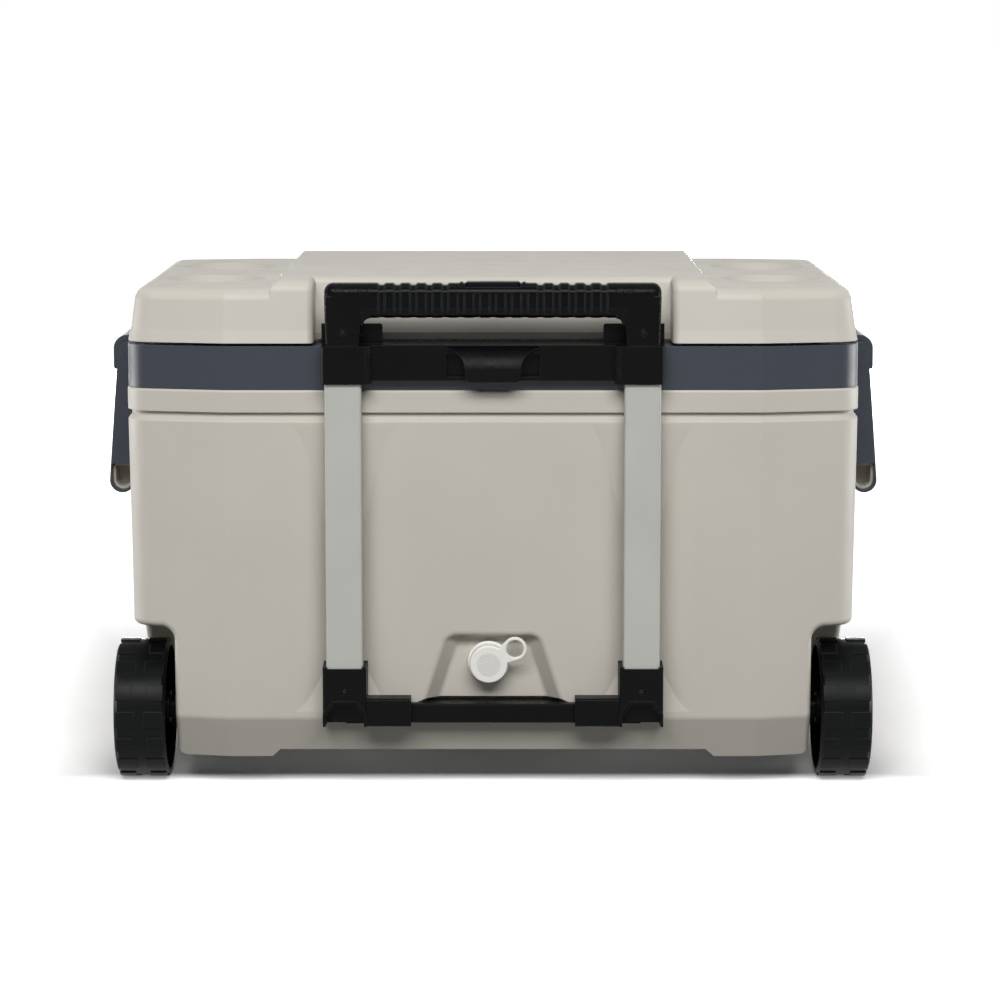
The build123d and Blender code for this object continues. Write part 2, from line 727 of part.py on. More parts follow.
def well_foot(side):
    """What rounding takes off the lower edge of a well's inner wall."""
    radius = WELL_FOOT_RADIUS
    outer = WELL_INNER_X + OVERLAP
    back = AXLE_Y + WHEEL_RADIUS + WELL_CLEARANCE
    corner = block(WELL_INNER_X - radius, outer, FRONT, back, UNDERSIDE_Z - OVERLAP, UNDERSIDE_Z + radius)
    corner -= rod_y(FRONT - OVERLAP, back + OVERLAP, WELL_INNER_X - radius, UNDERSIDE_Z + radius, radius)
    return at_side(corner, side)


# Body

def rear_foot_place():
    """Middle of the right rear foot, seen from above."""
    x = FOOT_INNER_X + REAR_FOOT_WIDTH / 2 + REAR_FOOT_MARGIN
    y = BACK - UNDERCUT - draft_inset(CREASE_Z) - REAR_FOOT_DEPTH / 2 - REAR_FOOT_SETBACK
    return x, y


def rear_foot(side, inset, low_z, high_z):
    """Foot block under one rear corner."""
    x, y = rear_foot_place()
    width = REAR_FOOT_WIDTH - 2 * inset
    depth = REAR_FOOT_DEPTH - 2 * inset
    taper = 2 * REAR_FOOT_TAPER
    top = RectangleRounded(width, depth, REAR_FOOT_RADIUS)
    low = RectangleRounded(width - taper, depth - taper, REAR_FOOT_RADIUS)
    return loft([Pos(side * x, y, low_z) * low, Pos(side * x, y, high_z) * top], ruled=True)


def body_form():
    """Outer form of the body before its cuts."""
    waist = draft_inset(CREASE_Z)
    form = frustum(waist, CREASE_Z, 0, SHELL_TOP_Z)
    form += frustum(waist + UNDERCUT, UNDERSIDE_Z, waist, CREASE_Z)
    form = fillet(loop_edges(form, CREASE_Z), CREASE_RADIUS)
    form = fillet(loop_edges(form, SHELL_TOP_Z), SHELL_EDGE_RADIUS)
    low = UNDERSIDE_Z
    step = [(FOOT_INNER_X - FOOT_STEP, low + FOOT_STEP), (FOOT_INNER_X + OVERLAP, low - OVERLAP)]
    return form - front_prism(mirrored(step), FRONT - OVERCUT, BACK + OVERCUT)


def body_room():
    """Space between shell and liner that the insulation fills, up to the rim flange."""
    waist = draft_inset(CREASE_Z) + SHELL_WALL + CREASE_EXTRA
    floor = UNDERSIDE_Z + FOOT_STEP + SHELL_WALL
    steep = UNDERCUT / (CREASE_Z - UNDERSIDE_Z)
    shelf = SHELL_TOP_Z - SHELL_WALL
    room = frustum(waist + (CREASE_Z - floor) * steep, floor, waist, CREASE_Z)
    room += frustum(waist, CREASE_Z, SHELL_WALL, shelf)
    room += prism(BAND_INSET + BAND_WALL + RIM_LEDGE, shelf, SHELL_TOP_Z + BAND_WALL)
    room += prism(BAND_INSET + BAND_WALL, SHELL_TOP_Z + BAND_WALL, BAND_TOP_Z - LINER_WALL)
    for side in (-1, 1):
        room += rear_foot(side, SHELL_WALL, SHELL_WALL, floor)
        room -= wheel_well(side, SHELL_WALL)
        room -= valley(side, VALLEY_WALL)
        room -= bracket_seat(side, VALLEY_WALL)
    room -= drain_recess(SHELL_WALL)
    room -= bar_slot(SHELL_WALL)
    room -= axle_channel(SHELL_WALL)
    return room - groove(SHELL_WALL)


def liner_form(grow):
    """Outside of the liner tub."""
    wall = 2 * (LINER_WALL + grow)
    radius = CAVITY_RADIUS + LINER_WALL + grow
    low = CAVITY_FLOOR_Z - LINER_WALL
    tub = rounded_box(CAVITY_WIDTH + wall, CAVITY_DEPTH + wall, radius, low, BAND_TOP_Z)
    return Pos(0, MID_Y) * tub


def cavity():
    """Inside of the liner tub, with a rounded floor edge."""
    room = rounded_box(CAVITY_WIDTH, CAVITY_DEPTH, CAVITY_RADIUS, CAVITY_FLOOR_Z, BAND_TOP_Z + OVERLAP)
    return Pos(0, MID_Y) * fillet(loop_edges(room, CAVITY_FLOOR_Z), CAVITY_FLOOR_RADIUS)


def well_edges(shell):
    """Edges of the wheel wells at the outside and the front of the body."""
    reach = AXLE_Y + WHEEL_RADIUS + WELL_CLEARANCE + OVERLAP
    top = 2 * WHEEL_RADIUS + WELL_CLEARANCE + OVERLAP
    inner = WELL_INNER_X + WELL_CORNER_RADIUS + OVERLAP
    found = []
    for edge in shell.edges():
        c = edge.center()
        outside = abs(c.X) > inner and c.Y < reach
        in_front = abs(c.X) > WELL_INNER_X - OVERLAP and c.Y < face_y(c.Z) + UNDERCUT
        if c.Z < top and (outside or in_front):
            found.append(edge)
    return found


def recess_edges(shell):
    """Edges where the drain recess meets the front wall."""
    low = BAR_SLOT_TOP_Z
    half = DRAIN_RECESS_LOW_HALF + DRAIN_RECESS_TAPER
    found = []
    for edge in shell.edges():
        c = edge.center()
        near = abs(c.X) < half and low < c.Z < DRAIN_RECESS_TOP_Z + DRAIN_RECESS_TAPER
        if near and c.Y < face_y(c.Z) + OVERLAP:
            found.append(edge)
    return found


def body_shell(room):
    shell = body_form()
    for side in (-1, 1):
        shell -= wheel_well(side, 0)
    shell = fillet(well_edges(shell), WELL_EDGE_RADIUS)
    for side in (-1, 1):
        shell -= well_foot(side)
    shell -= drain_recess(0)
    shell = fillet(recess_edges(shell), DRAIN_EDGE_RADIUS)
    for side in (-1, 1):
        shell += rear_foot(side, 0, 0, UNDERSIDE_Z + SHELL_WALL)
        shell -= valley(side, 0)
        shell -= bracket_seat(side, 0)
    shell -= bar_slot(0)
    shell -= axle_channel(0)
    shell -= groove(0)
    shell -= rod_x(-BODY_WIDTH / 2, BODY_WIDTH / 2, AXLE_Y, WHEEL_RADIUS, AXLE_RADIUS + FIT)
    shell -= spout_hole()
    for place in lower_screw_places():
        shell -= place * screw_hole(LOWER_SCREW_LENGTH)
    return shell - room


def body_insulation(room):
    return room - liner_form(0) - spout_hole()


def body_liner():
    return liner_form(0) - cavity() - spout_hole()


def rim_band():
    """Channel all round the top of the box: a ledge on the shell, the outer wall and the rim flange."""
    inner = BAND_INSET + BAND_WALL
    band = prism(BAND_INSET, SHELL_TOP_Z, BAND_TOP_Z)
    band -= prism(inner, SHELL_TOP_Z + BAND_WALL, BAND_TOP_Z - LINER_WALL)
    band -= prism(inner + RIM_LEDGE, SHELL_TOP_Z, SHELL_TOP_Z + BAND_WALL)
    band -= liner_form(FIT)
    for place in hinge_base_places():
        band -= place * screw_hole(HINGE_SCREW_LENGTH)
    for place in mount_screw_places():
        band -= place * screw_hole(MOUNT_SCREW_LENGTH)
    for place in upper_screw_places():
        band -= place * screw_hole(UPPER_SCREW_LENGTH)
    return band


# Drain

def drain_spout():
    end = CAVITY_FRONT + WASHER_THICKNESS + NUT_HEIGHT + SPOUT_END
    flange = drain_bore(DRAIN_FLOOR_Y - SPOUT_FLANGE, DRAIN_FLOOR_Y, SPOUT_FLANGE_RADIUS)
    flange = fillet(flange.edges().sort_by(Axis.Y)[:1], SPOUT_EDGE)
    spout = flange + drain_bore(DRAIN_FLOOR_Y - OVERLAP, end, DRAIN_BORE_RADIUS + DRAIN_WALL)
    return spout - drain_bore(DRAIN_FLOOR_Y - OVERCUT, end + OVERLAP, DRAIN_BORE_RADIUS)


def drain_washer():
    washer = drain_bore(CAVITY_FRONT, CAVITY_FRONT + WASHER_THICKNESS, DRAIN_WASHER_RADIUS)
    return washer - spout_hole()


def drain_nut():
    low = CAVITY_FRONT + WASHER_THICKNESS
    hexagon = RegularPolygon(DRAIN_WASHER_RADIUS + NUT_OVERHANG, 6)
    nut = extrude(Pos(DRAIN_X, low, DRAIN_Z) * Rot(-90, 0, 0) * hexagon, amount=NUT_HEIGHT, dir=(0, 1, 0))
    return nut - spout_hole()


def plug_front():
    """Front face of the drain plug."""
    return DRAIN_FLOOR_Y - SPOUT_FLANGE - GAP - PLUG_HEAD


def ring_centre(away):
    """Point on the line from the plug's middle through its pull ring, in the front view."""
    angle = math.radians(RING_ANGLE)
    return DRAIN_X + away * math.cos(angle), DRAIN_Z + away * math.sin(angle)


def ring_distance():
    return DRAIN_HEAD_RADIUS + RING_OUTER - RING_OVERLAP


def drain_plug():
    """Push-in plug with a pull ring at its upper right."""
    front = plug_front()
    back = front + PLUG_HEAD
    head = drain_bore(front, back, DRAIN_HEAD_RADIUS)
    head = fillet(head.edges().sort_by(Axis.Y)[:1], PLUG_EDGE)
    shank = drain_bore(back - OVERLAP, back + PLUG_SHANK, DRAIN_BORE_RADIUS - PLUG_FIT)
    shank = chamfer(shank.edges().sort_by(Axis.Y)[-1:], PLUG_EDGE)
    neck = ring_centre(DRAIN_HEAD_RADIUS / 2)
    tab = tapered_link(ring_centre(ring_distance()), RING_OUTER, neck, RING_NECK_RADIUS)
    ring = along_y(tab, front, front + RING_THICKNESS)
    hole_x, hole_z = ring_centre(ring_distance())
    ring -= rod_y(front - OVERLAP, front + RING_THICKNESS + OVERLAP, hole_x, hole_z, RING_INNER)
    edge = [e for e in ring.edges() if e.center().Y < front + FIT]
    return head + shank + fillet(edge, SPOUT_EDGE)


# Wheels

def wheel_axle():
    end = WHEEL_OUTER_X - AXLE_END_GAP
    return chamfer(rod_x(-end, end, AXLE_Y, WHEEL_RADIUS, AXLE_RADIUS).edges(), 2 * GAP)


def tread_block(length):
    """Raised block on the tread, following its curve."""
    spread = 2 * WHEEL_RADIUS * math.tan(math.radians(LUG_HALF_ANGLE))
    sector = Polyline((0, 0), (2 * WHEEL_RADIUS, spread), (2 * WHEEL_RADIUS, -spread), close=True)
    wedge = extrude(make_face(sector), amount=length)
    ring = Cylinder(WHEEL_RADIUS, length) - Cylinder(WHEEL_RADIUS - LUG_RELIEF - OVERLAP, length)
    return ring & Pos(0, 0, -length / 2) * wedge


def wheel_at_right():
    """One wheel with tread blocks in two rows, a web with spokes, and a hub."""
    tread = WHEEL_RADIUS - LUG_RELIEF
    inside = tread - TREAD_WALL
    tyre = Cylinder(tread, WHEEL_WIDTH)
    tyre = chamfer(tyre.edges().filter_by(GeomType.CIRCLE), TREAD_CHAMFER)
    tyre -= Cylinder(inside, WHEEL_WIDTH + OVERLAP)
    web = Pos(0, 0, WEB_OFFSET) * Cylinder(inside + OVERLAP / 2, WEB_THICKNESS)
    hub = Pos(0, 0, -HUB_SETBACK / 2) * Cylinder(HUB_RADIUS, WHEEL_WIDTH - HUB_SETBACK)
    wheel = tyre + web + hub
    for k in range(SPOKE_COUNT):
        length = inside - HUB_RADIUS + OVERLAP
        spoke = Box(length, SPOKE_WIDTH, WHEEL_WIDTH - 2 * SPOKE_SETBACK)
        spoke = Pos((inside + HUB_RADIUS) / 2, 0, 0) * spoke
        wheel += Rot(0, 0, (k + 0.5) * 360 / SPOKE_COUNT) * spoke
    for k in range(LUG_COUNT):
        length = LUG_LONG if k % 2 == 0 else LUG_SHORT
        for end in (-1, 1):
            z = end * (WHEEL_WIDTH / 2 - LUG_EDGE - length / 2)
            wheel += Pos(0, 0, z) * Rot(0, 0, k * 360 / LUG_COUNT) * tread_block(length)
    wheel -= Cylinder(AXLE_RADIUS + TURN_FIT, WHEEL_WIDTH + OVERLAP)
    return Pos(WHEEL_INNER_X + WHEEL_WIDTH / 2, AXLE_Y, WHEEL_RADIUS) * Rot(0, 90, 0) * wheel


def axle_washers():
    """Thick washers on the axle, from the wells to the wheels."""
    washer = rod_x(WELL_INNER_X, WHEEL_INNER_X - GAP, AXLE_Y, WHEEL_RADIUS, SPACER_RADIUS)
    washer -= rod_x(WELL_INNER_X, WHEEL_INNER_X, AXLE_Y, WHEEL_RADIUS, AXLE_RADIUS + FIT)
    return on_both_sides(washer)


def axle_caps():
    low = WHEEL_OUTER_X - HUB_SETBACK + GAP
    cap = rod_x(low, WHEEL_OUTER_X - OVERLAP, AXLE_Y, WHEEL_RADIUS, SPACER_RADIUS)
    cap = fillet(cap.edges().sort_by(Axis.X)[-1:], CAP_EDGE_RADIUS)
    cap -= rod_x(low - OVERLAP, WHEEL_OUTER_X - AXLE_END_GAP, AXLE_Y, WHEEL_RADIUS, AXLE_RADIUS + FIT)
    return on_both_sides(cap)


# Lid

def lid_inset(z):
    return LID_INSET + (z - LID_BOTTOM_Z) * LID_SLOPE


def lid_back(z):
    return BACK - lid_inset(z)


def lid_block(wall, top_z, edge):
    """Lid form up to one level, with rounded top edges."""
    form = frustum(lid_inset(LID_BOTTOM_Z) + wall, LID_BOTTOM_Z, lid_inset(top_z) + wall, top_z)
    return fillet(loop_edges(form, top_z), edge)


def lid_form(wall):
    """Outer form of the lid, or its inside when a wall is given."""
    edge = LID_EDGE_RADIUS - wall
    shoulder = PLATFORM_Z - wall
    top = LID_TOP_Z - wall
    half = RAISED_HALF_WIDTH - wall
    spread = half + LID_RAISE + OVERLAP
    outline = mirrored([(half, top), (spread, shoulder - OVERLAP), (spread, LID_BOTTOM_Z)])
    form = lid_block(wall, shoulder, edge)
    return form + (lid_block(wall, top, edge) & front_prism(outline, FRONT, BACK))


def lid_lip():
    """Flare round the lower edge of the lid."""
    high = LID_BOTTOM_Z + LID_LIP_HEIGHT
    return frustum(LID_INSET - LID_LIP, LID_BOTTOM_Z, lid_inset(high), high)


def lip_back(z):
    """Back of the lid with its flare, at a height within the flare."""
    return lid_back(z) + LID_LIP * (1 - (z - LID_BOTTOM_Z) / LID_LIP_HEIGHT)


def grip_recess(grow):
    """Recess in the front of the lid behind the grip, with a lip along its lower edge."""
    half = GRIP_RECESS_HALF + grow
    reach = FRONT + GRIP_RECESS_DEPTH + grow
    knee = LID_BOTTOM_Z + RECESS_LIP_HEIGHT
    lean = (LID_TOP_Z - knee) * LID_SLOPE
    low = LID_BOTTOM_Z - OVERCUT
    high = LID_TOP_Z + OVERCUT
    outline = [(FRONT - OVERCUT, low), (reach - RECESS_LIP, low), (reach - RECESS_LIP, knee), (reach, knee)]
    outline += [(reach + lean, LID_TOP_Z), (reach + lean, high), (FRONT - OVERCUT, high)]
    return side_prism(outline, -half, half)


def cup_dish(x, y, grow):
    """Shallow round dish in an end platform."""
    low = PLATFORM_Z - DISH_DEPTH - grow
    rim = PLATFORM_Z + OVERLAP
    foot = Pos(x, y, low) * Circle(DISH_RADIUS - DISH_SLOPE + grow)
    mouth = Pos(x, y, rim) * Circle(DISH_RADIUS + OVERLAP + grow)
    dish = loft([foot, mouth], ruled=True)
    return fillet(loop_edges(dish, low), DISH_FLOOR_RADIUS)


def dish_notch(x, y):
    """Small drain notch at the inner side of a dish."""
    inner = abs(x) - DISH_RADIUS - NOTCH_LENGTH / 2
    low, high = sorted((math.copysign(inner, x), math.copysign(inner + NOTCH_LENGTH, x)))
    return rod_x(low, high, y, PLATFORM_Z, NOTCH_RADIUS)


def dish_places():
    return [(sx * DISH_X, MID_Y + sy * DISH_SPACING / 2) for sx in (-1, 1) for sy in (-1, 1)]


def lid_room():
    """Inside of the lid shell that the insulation fills."""
    room = lid_form(LID_WALL) - grip_recess(LID_WALL)
    for x, y in dish_places():
        room -= cup_dish(x, y, LID_WALL)
    return room


def recess_corner_edges(shell):
    """Upright edges at both ends of the grip recess."""
    found = []
    for edge in shell.edges():
        c = edge.center()
        at_end = abs(abs(c.X) - GRIP_RECESS_HALF) < OVERLAP / 2
        if at_end and c.Y < FRONT + LID_EDGE_RADIUS and edge.length > LID_EDGE_RADIUS:
            found.append(edge)
    return found


def recess_top_edge(shell):
    """Long edge between the back of the grip recess and the top of the lid."""
    level = [e for e in loop_edges(shell, LID_TOP_Z) if abs(e.center().X) < OVERLAP]
    return sorted(level, key=lambda e: e.center().Y)[:1]


def lid_shell(room):
    shell = lid_form(0) + lid_lip() - grip_recess(0)
    shell = fillet(recess_corner_edges(shell), RECESS_EDGE_RADIUS)
    shell = fillet(recess_top_edge(shell), RECESS_TOP_RADIUS)
    for x, y in dish_places():
        shell -= cup_dish(x, y, 0)
        shell -= dish_notch(x, y)
    for place in hinge_leaf_places():
        shell -= place * screw_hole(HINGE_SCREW_LENGTH)
    return shell - room


def lid_pan(inset, low_z, high_z):
    """Block that drops into the mouth of the box."""
    gap = LID_PLUG_GAP + inset
    pan = rounded_box(CAVITY_WIDTH - 2 * gap, CAVITY_DEPTH - 2 * gap, CAVITY_RADIUS - gap, low_z, high_z)
    return Pos(0, MID_Y) * pan


def lid_liner():
    """Inner panel of the lid: an edge up inside the shell, a land over the rim and a pan into the box."""
    high = SEAL_Z + LID_PANEL
    low = SEAL_Z - LID_PLUG_DEPTH
    panel = prism(lid_inset(high) + LID_WALL + GAP, LID_BOTTOM_Z, high)
    panel += prism(BAND_INSET + LID_LAND_INSET, SEAL_Z, high)
    panel -= grip_recess(LID_WALL + GAP)
    panel += lid_pan(0, low, high)
    return panel - lid_pan(LINER_WALL, low + LINER_WALL, high + OVERLAP)


def lid_insulation(room):
    high = SEAL_Z + LID_PANEL
    foam = room - block(-BODY_WIDTH, BODY_WIDTH, FRONT, BACK, 0, high)
    return foam + lid_pan(LINER_WALL, SEAL_Z - LID_PLUG_DEPTH + LINER_WALL, high)


# Lid hinges

def hinge_base(side):
    """Plate on the band with two barrels."""
    x = side * HINGE_X
    half = HINGE_WIDTH / 2
    y = BACK - BAND_INSET
    top = BAND_TOP_Z - HINGE_BASE_TOP_GAP
    base = block(x - half, x + half, y, y + HINGE_PLATE, SHELL_TOP_Z + HINGE_BASE_LOW, top)
    gap = KNUCKLE_WIDTH / 2 + KNUCKLE_GAP
    for low, high in ((x - half, x - gap), (x + gap, x + half)):
        base += rod_x(low, high, HINGE_Y, HINGE_Z, HINGE_BARREL_RADIUS)
        base += block(low, high, y, HINGE_Y, BAND_TOP_Z - HINGE_BLOCK_HEIGHT, HINGE_Z)
    base -= rod_x(x - HINGE_WIDTH, x + HINGE_WIDTH, HINGE_Y, HINGE_Z, HINGE_PIN_RADIUS + FIT)
    for place in hinge_base_places():
        base -= place * screw_hole(HINGE_SCREW_LENGTH)
    return base


def hinge_leaf(side):
    """Plate on the back of the lid with the middle barrel."""
    x = side * HINGE_X
    low = LID_BOTTOM_Z + LEAF_LIFT
    lip = LID_BOTTOM_Z + LID_LIP_HEIGHT
    knee = lip + LEAF_KNEE
    high = LID_BOTTOM_Z + LEAF_HEIGHT
    arm = [(lip_back(low), low), (lid_back(lip), lip), (lid_back(knee), knee)]
    arm += [(lid_back(knee) + HINGE_PLATE, knee), (HINGE_Y, HINGE_Z + HINGE_BARREL_RADIUS), (HINGE_Y, low)]
    plate = [(lid_back(knee), knee), (lid_back(high), high)]
    plate += [(lid_back(high) + HINGE_PLATE, high), (lid_back(knee) + HINGE_PLATE, knee)]
    half = HINGE_WIDTH / 2
    narrow = KNUCKLE_WIDTH / 2
    leaf = side_prism(arm, x - narrow, x + narrow) + side_prism(plate, x - half, x + half)
    leaf += rod_x(x - narrow, x + narrow, HINGE_Y, HINGE_Z, HINGE_BARREL_RADIUS)
    leaf -= rod_x(x - half, x + half, HINGE_Y, HINGE_Z, HINGE_PIN_RADIUS + TURN_FIT)
    for place in hinge_leaf_places():
        leaf -= place * screw_hole(HINGE_SCREW_LENGTH)
    return leaf


def hinge_pin(side):
    x = side * HINGE_X
    return rod_x(x - HINGE_WIDTH / 2, x + HINGE_WIDTH / 2, HINGE_Y, HINGE_Z, HINGE_PIN_RADIUS)


# Telescopic handle: stage 0 is the outer tube, 1 the middle tube, 2 the inner tube

def stage_solid(side, stage, z_low, z_high, grow):
    """Full section of one tube stage, grown by a clearance."""
    inward = stage * (TUBE_WALL + SLIDE_GAP) - grow
    radius = max(TUBE_RADIUS - inward, GAP)
    bar = rounded_box(TUBE_WIDTH - 2 * inward, TUBE_DEPTH - 2 * inward, radius, z_low, z_high)
    return Pos(side * TUBE_X, TUBE_Y) * bar


def stage_tube(side, stage, z_low, z_high):
    solid = stage_solid(side, stage, z_low, z_high, 0)
    return solid - stage_solid(side, stage, z_low - OVERLAP, z_high + OVERLAP, -TUBE_WALL)


def outer_tube(side):
    return stage_tube(side, 0, TUBE_FOOT_Z, OUTER_TOP_Z)


def middle_tube(side):
    return stage_tube(side, 1, MIDDLE_FOOT_Z, MIDDLE_TOP_Z)


def middle_bush(side):
    """Plug at the foot of the middle tube that the inner tube comes down to."""
    return stage_solid(side, 1, MIDDLE_FOOT_Z, MIDDLE_FOOT_Z + BUSH_HEIGHT, -TUBE_WALL)


def lock_pin_bore(side):
    """Bore of the lock pin, from behind its drawn place out through the inner tube."""
    outer = TUBE_X + INNER_HALF_WIDTH
    inner = outer - LOCK_PIN_LENGTH - LOCK_PIN_TRAVEL - 2 * GAP
    return at_side(rod_x(inner, outer + OVERLAP, TUBE_Y, LOCK_PIN_Z, LOCK_PIN_RADIUS + GAP), side)


def inner_tube(side):
    tube = stage_tube(side, 2, INNER_FOOT_Z, INNER_TOP_Z) - lock_pin_bore(side)
    for place in leg_screw_places():
        tube -= place * screw_hole(LEG_SCREW_LENGTH)
    return tube


def rod_place(side):
    return side * (TUBE_X - ROD_OFFSET)


def lock_block(side):
    """Plug at the foot of the inner tube that holds the lock pin."""
    top = INNER_FOOT_Z + LOCK_BLOCK_HEIGHT
    plug = stage_solid(side, 2, INNER_FOOT_Z, top, -TUBE_WALL) - lock_pin_bore(side)
    return plug - rod_z(INNER_FOOT_Z + ROD_FLOOR, top + OVERLAP, rod_place(side), TUBE_Y, ROD_RADIUS + GAP)


def lock_pin(side):
    outer = TUBE_X + INNER_HALF_WIDTH - GAP / 2
    return at_side(rod_x(outer - LOCK_PIN_LENGTH, outer, TUBE_Y, LOCK_PIN_Z, LOCK_PIN_RADIUS), side)


def collar(side):
    """Block of the upper bracket round the top of one outer tube."""
    half = BRACKET_WIDTH / 2
    inner = TUBE_X - half - COLLAR_SHOULDER
    solid = block(inner, TUBE_X + half, BRACKET_FRONT, FRONT + BAND_INSET, COLLAR_LOW_Z, COLLAR_TOP_Z)
    solid = chamfer(front_upright_edges(solid)[:1], COLLAR_CHAMFER)
    return at_side(chamfer(front_upright_edges(solid)[-1:], COLLAR_OUTER_CHAMFER), side)


def front_upright_edges(solid):
    """Upright edges on the front face of a block, from left to right."""
    edges = solid.edges().filter_by(Axis.Z)
    front = min(e.center().Y for e in edges)
    return sorted([e for e in edges if e.center().Y < front + FIT], key=lambda e: e.center().X)


def upright(side):
    """Plate of the upper bracket behind one leg of the grip."""
    outer = TUBE_X + BRACKET_WIDTH / 2
    back = FRONT + UPRIGHT_SETBACK
    plate = block(
        outer - UPRIGHT_WIDTH, outer, back, back + UPRIGHT_THICKNESS, BAND_TOP_Z, BAND_TOP_Z + UPRIGHT_HEIGHT
    )
    corner = plate.edges().filter_by(Axis.Y).group_by(Axis.Z)[-1].sort_by(Axis.X)[:1]
    return at_side(fillet(corner, UPRIGHT_CORNER_RADIUS), side)


def upper_bracket():
    """Collars, cross panel with its tongue, top flange and uprights behind the legs."""
    wall_y = FRONT + BAND_INSET
    panel_y = wall_y - PANEL_THICKNESS
    reach = TUBE_X + BRACKET_WIDTH / 2
    panel_low = COLLAR_LOW_Z + PANEL_RISE
    bracket = block(-TUBE_X, TUBE_X, panel_y, wall_y, panel_low, COLLAR_TOP_Z)
    bracket += block(-reach, reach, wall_y - OVERLAP, FRONT + FLANGE_REACH, BAND_TOP_Z, COLLAR_TOP_Z)
    for side in (-1, 1):
        bracket += collar(side) + upright(side)
    half = TONGUE_HALF_WIDTH
    pocket_low = panel_low + POCKET_FLOOR
    pocket_top = BAND_TOP_Z - POCKET_TOP_WALL
    bracket -= block(-half, half, panel_y - OVERLAP, wall_y - POCKET_FLOOR, pocket_low, pocket_top)
    bracket += tongue(panel_y + OVERLAP / 2)
    for side in (-1, 1):
        bracket -= stage_solid(side, 0, COLLAR_LOW_Z - OVERLAP, OUTER_TOP_Z, FIT)
        bracket -= stage_solid(side, 1, COLLAR_LOW_Z, COLLAR_TOP_Z + OVERLAP, GAP)
    for place in upper_screw_places():
        bracket -= place * screw_hole(UPPER_SCREW_LENGTH)
    return bracket


def tongue_outline():
    """Front-view face of the tongue: flared by an arc at the top, with a rounded foot."""
    top = COLLAR_TOP_Z
    low = COLLAR_LOW_Z + TONGUE_RISE
    neck_z = low + TONGUE_CREASE_RISE
    wide = TONGUE_HALF_WIDTH - TONGUE_NECK
    tall = top - TONGUE_THICKNESS - neck_z
    radius = (wide**2 + tall**2) / (2 * wide)
    half_turn = math.asin(tall / radius) / 2
    mid = (TONGUE_NECK + radius * (1 - math.cos(half_turn)), neck_z + radius * math.sin(half_turn))
    rim = (TONGUE_HALF_WIDTH, top - TONGUE_THICKNESS)
    edges = []
    for sign in (1, -1):
        points = [(sign * x, BRACKET_FRONT, z) for x, z in (rim, mid, (TONGUE_NECK, neck_z))]
        edges += ThreePointArc(*points).edges()
        edges += Line(points[2], (sign * TONGUE_FOOT, BRACKET_FRONT, low)).edges()
    over = mirrored([rim, (TONGUE_HALF_WIDTH, top + OVERLAP)])
    edges += Polyline(*[(x, BRACKET_FRONT, z) for x, z in over]).edges()
    edges += Line((TONGUE_FOOT, BRACKET_FRONT, low), (-TONGUE_FOOT, BRACKET_FRONT, low)).edges()
    face = make_face(edges)
    return fillet([v for v in face.vertices() if v.Z < low + FIT], TONGUE_CORNER_RADIUS)


def tongue(root_y):
    """Bowed scoop in front of the panel, narrower towards its lower edge."""
    top = COLLAR_TOP_Z
    low = COLLAR_LOW_Z + TONGUE_RISE
    thick = TONGUE_THICKNESS
    bow_y = BRACKET_FRONT + thick / 2
    crease = (0, bow_y, low + TONGUE_CREASE_RISE)
    inner_crease = (0, bow_y + thick, low + TONGUE_CREASE_RISE)
    tip_y = bow_y + thick / 2
    outer_bow = (0, bow_y + thick, top - TONGUE_BOW_DROP)
    inner_bow = (0, bow_y + TONGUE_BOW_BACK, top - TONGUE_BOW_DROP - TONGUE_BOW_STEP)
    outer = ThreePointArc((0, root_y, top), outer_bow, crease)
    tip = Polyline(crease, (0, tip_y, low), (0, tip_y + thick, low), inner_crease)
    back = ThreePointArc(inner_crease, inner_bow, (0, root_y, top - thick))
    root = Line((0, root_y, top - thick), (0, root_y, top))
    strip = make_face([e for part in (outer, tip, back, root) for e in part.edges()])
    bowed = extrude(strip, amount=TONGUE_HALF_WIDTH, dir=(1, 0, 0), both=True)
    return bowed & extrude(tongue_outline(), amount=FRONT_REACH, dir=(0, 1, 0), both=True)


def arch_outline(half, low, high):
    """Arch with cut corners about the right tube, in the front view."""
    right = [(half - ARCH_RUN, high), (half, high - ARCH_DROP), (half, low)]
    return [(TUBE_X + x, z) for x, z in mirrored(right)]


def bar_span(grow):
    """Depth and height span of the crossbar, grown by a clearance."""
    return BAR_Y - grow, BAR_Y + BAR_DEPTH + grow, BAR_Z - grow, BAR_Z + BAR_HEIGHT + grow


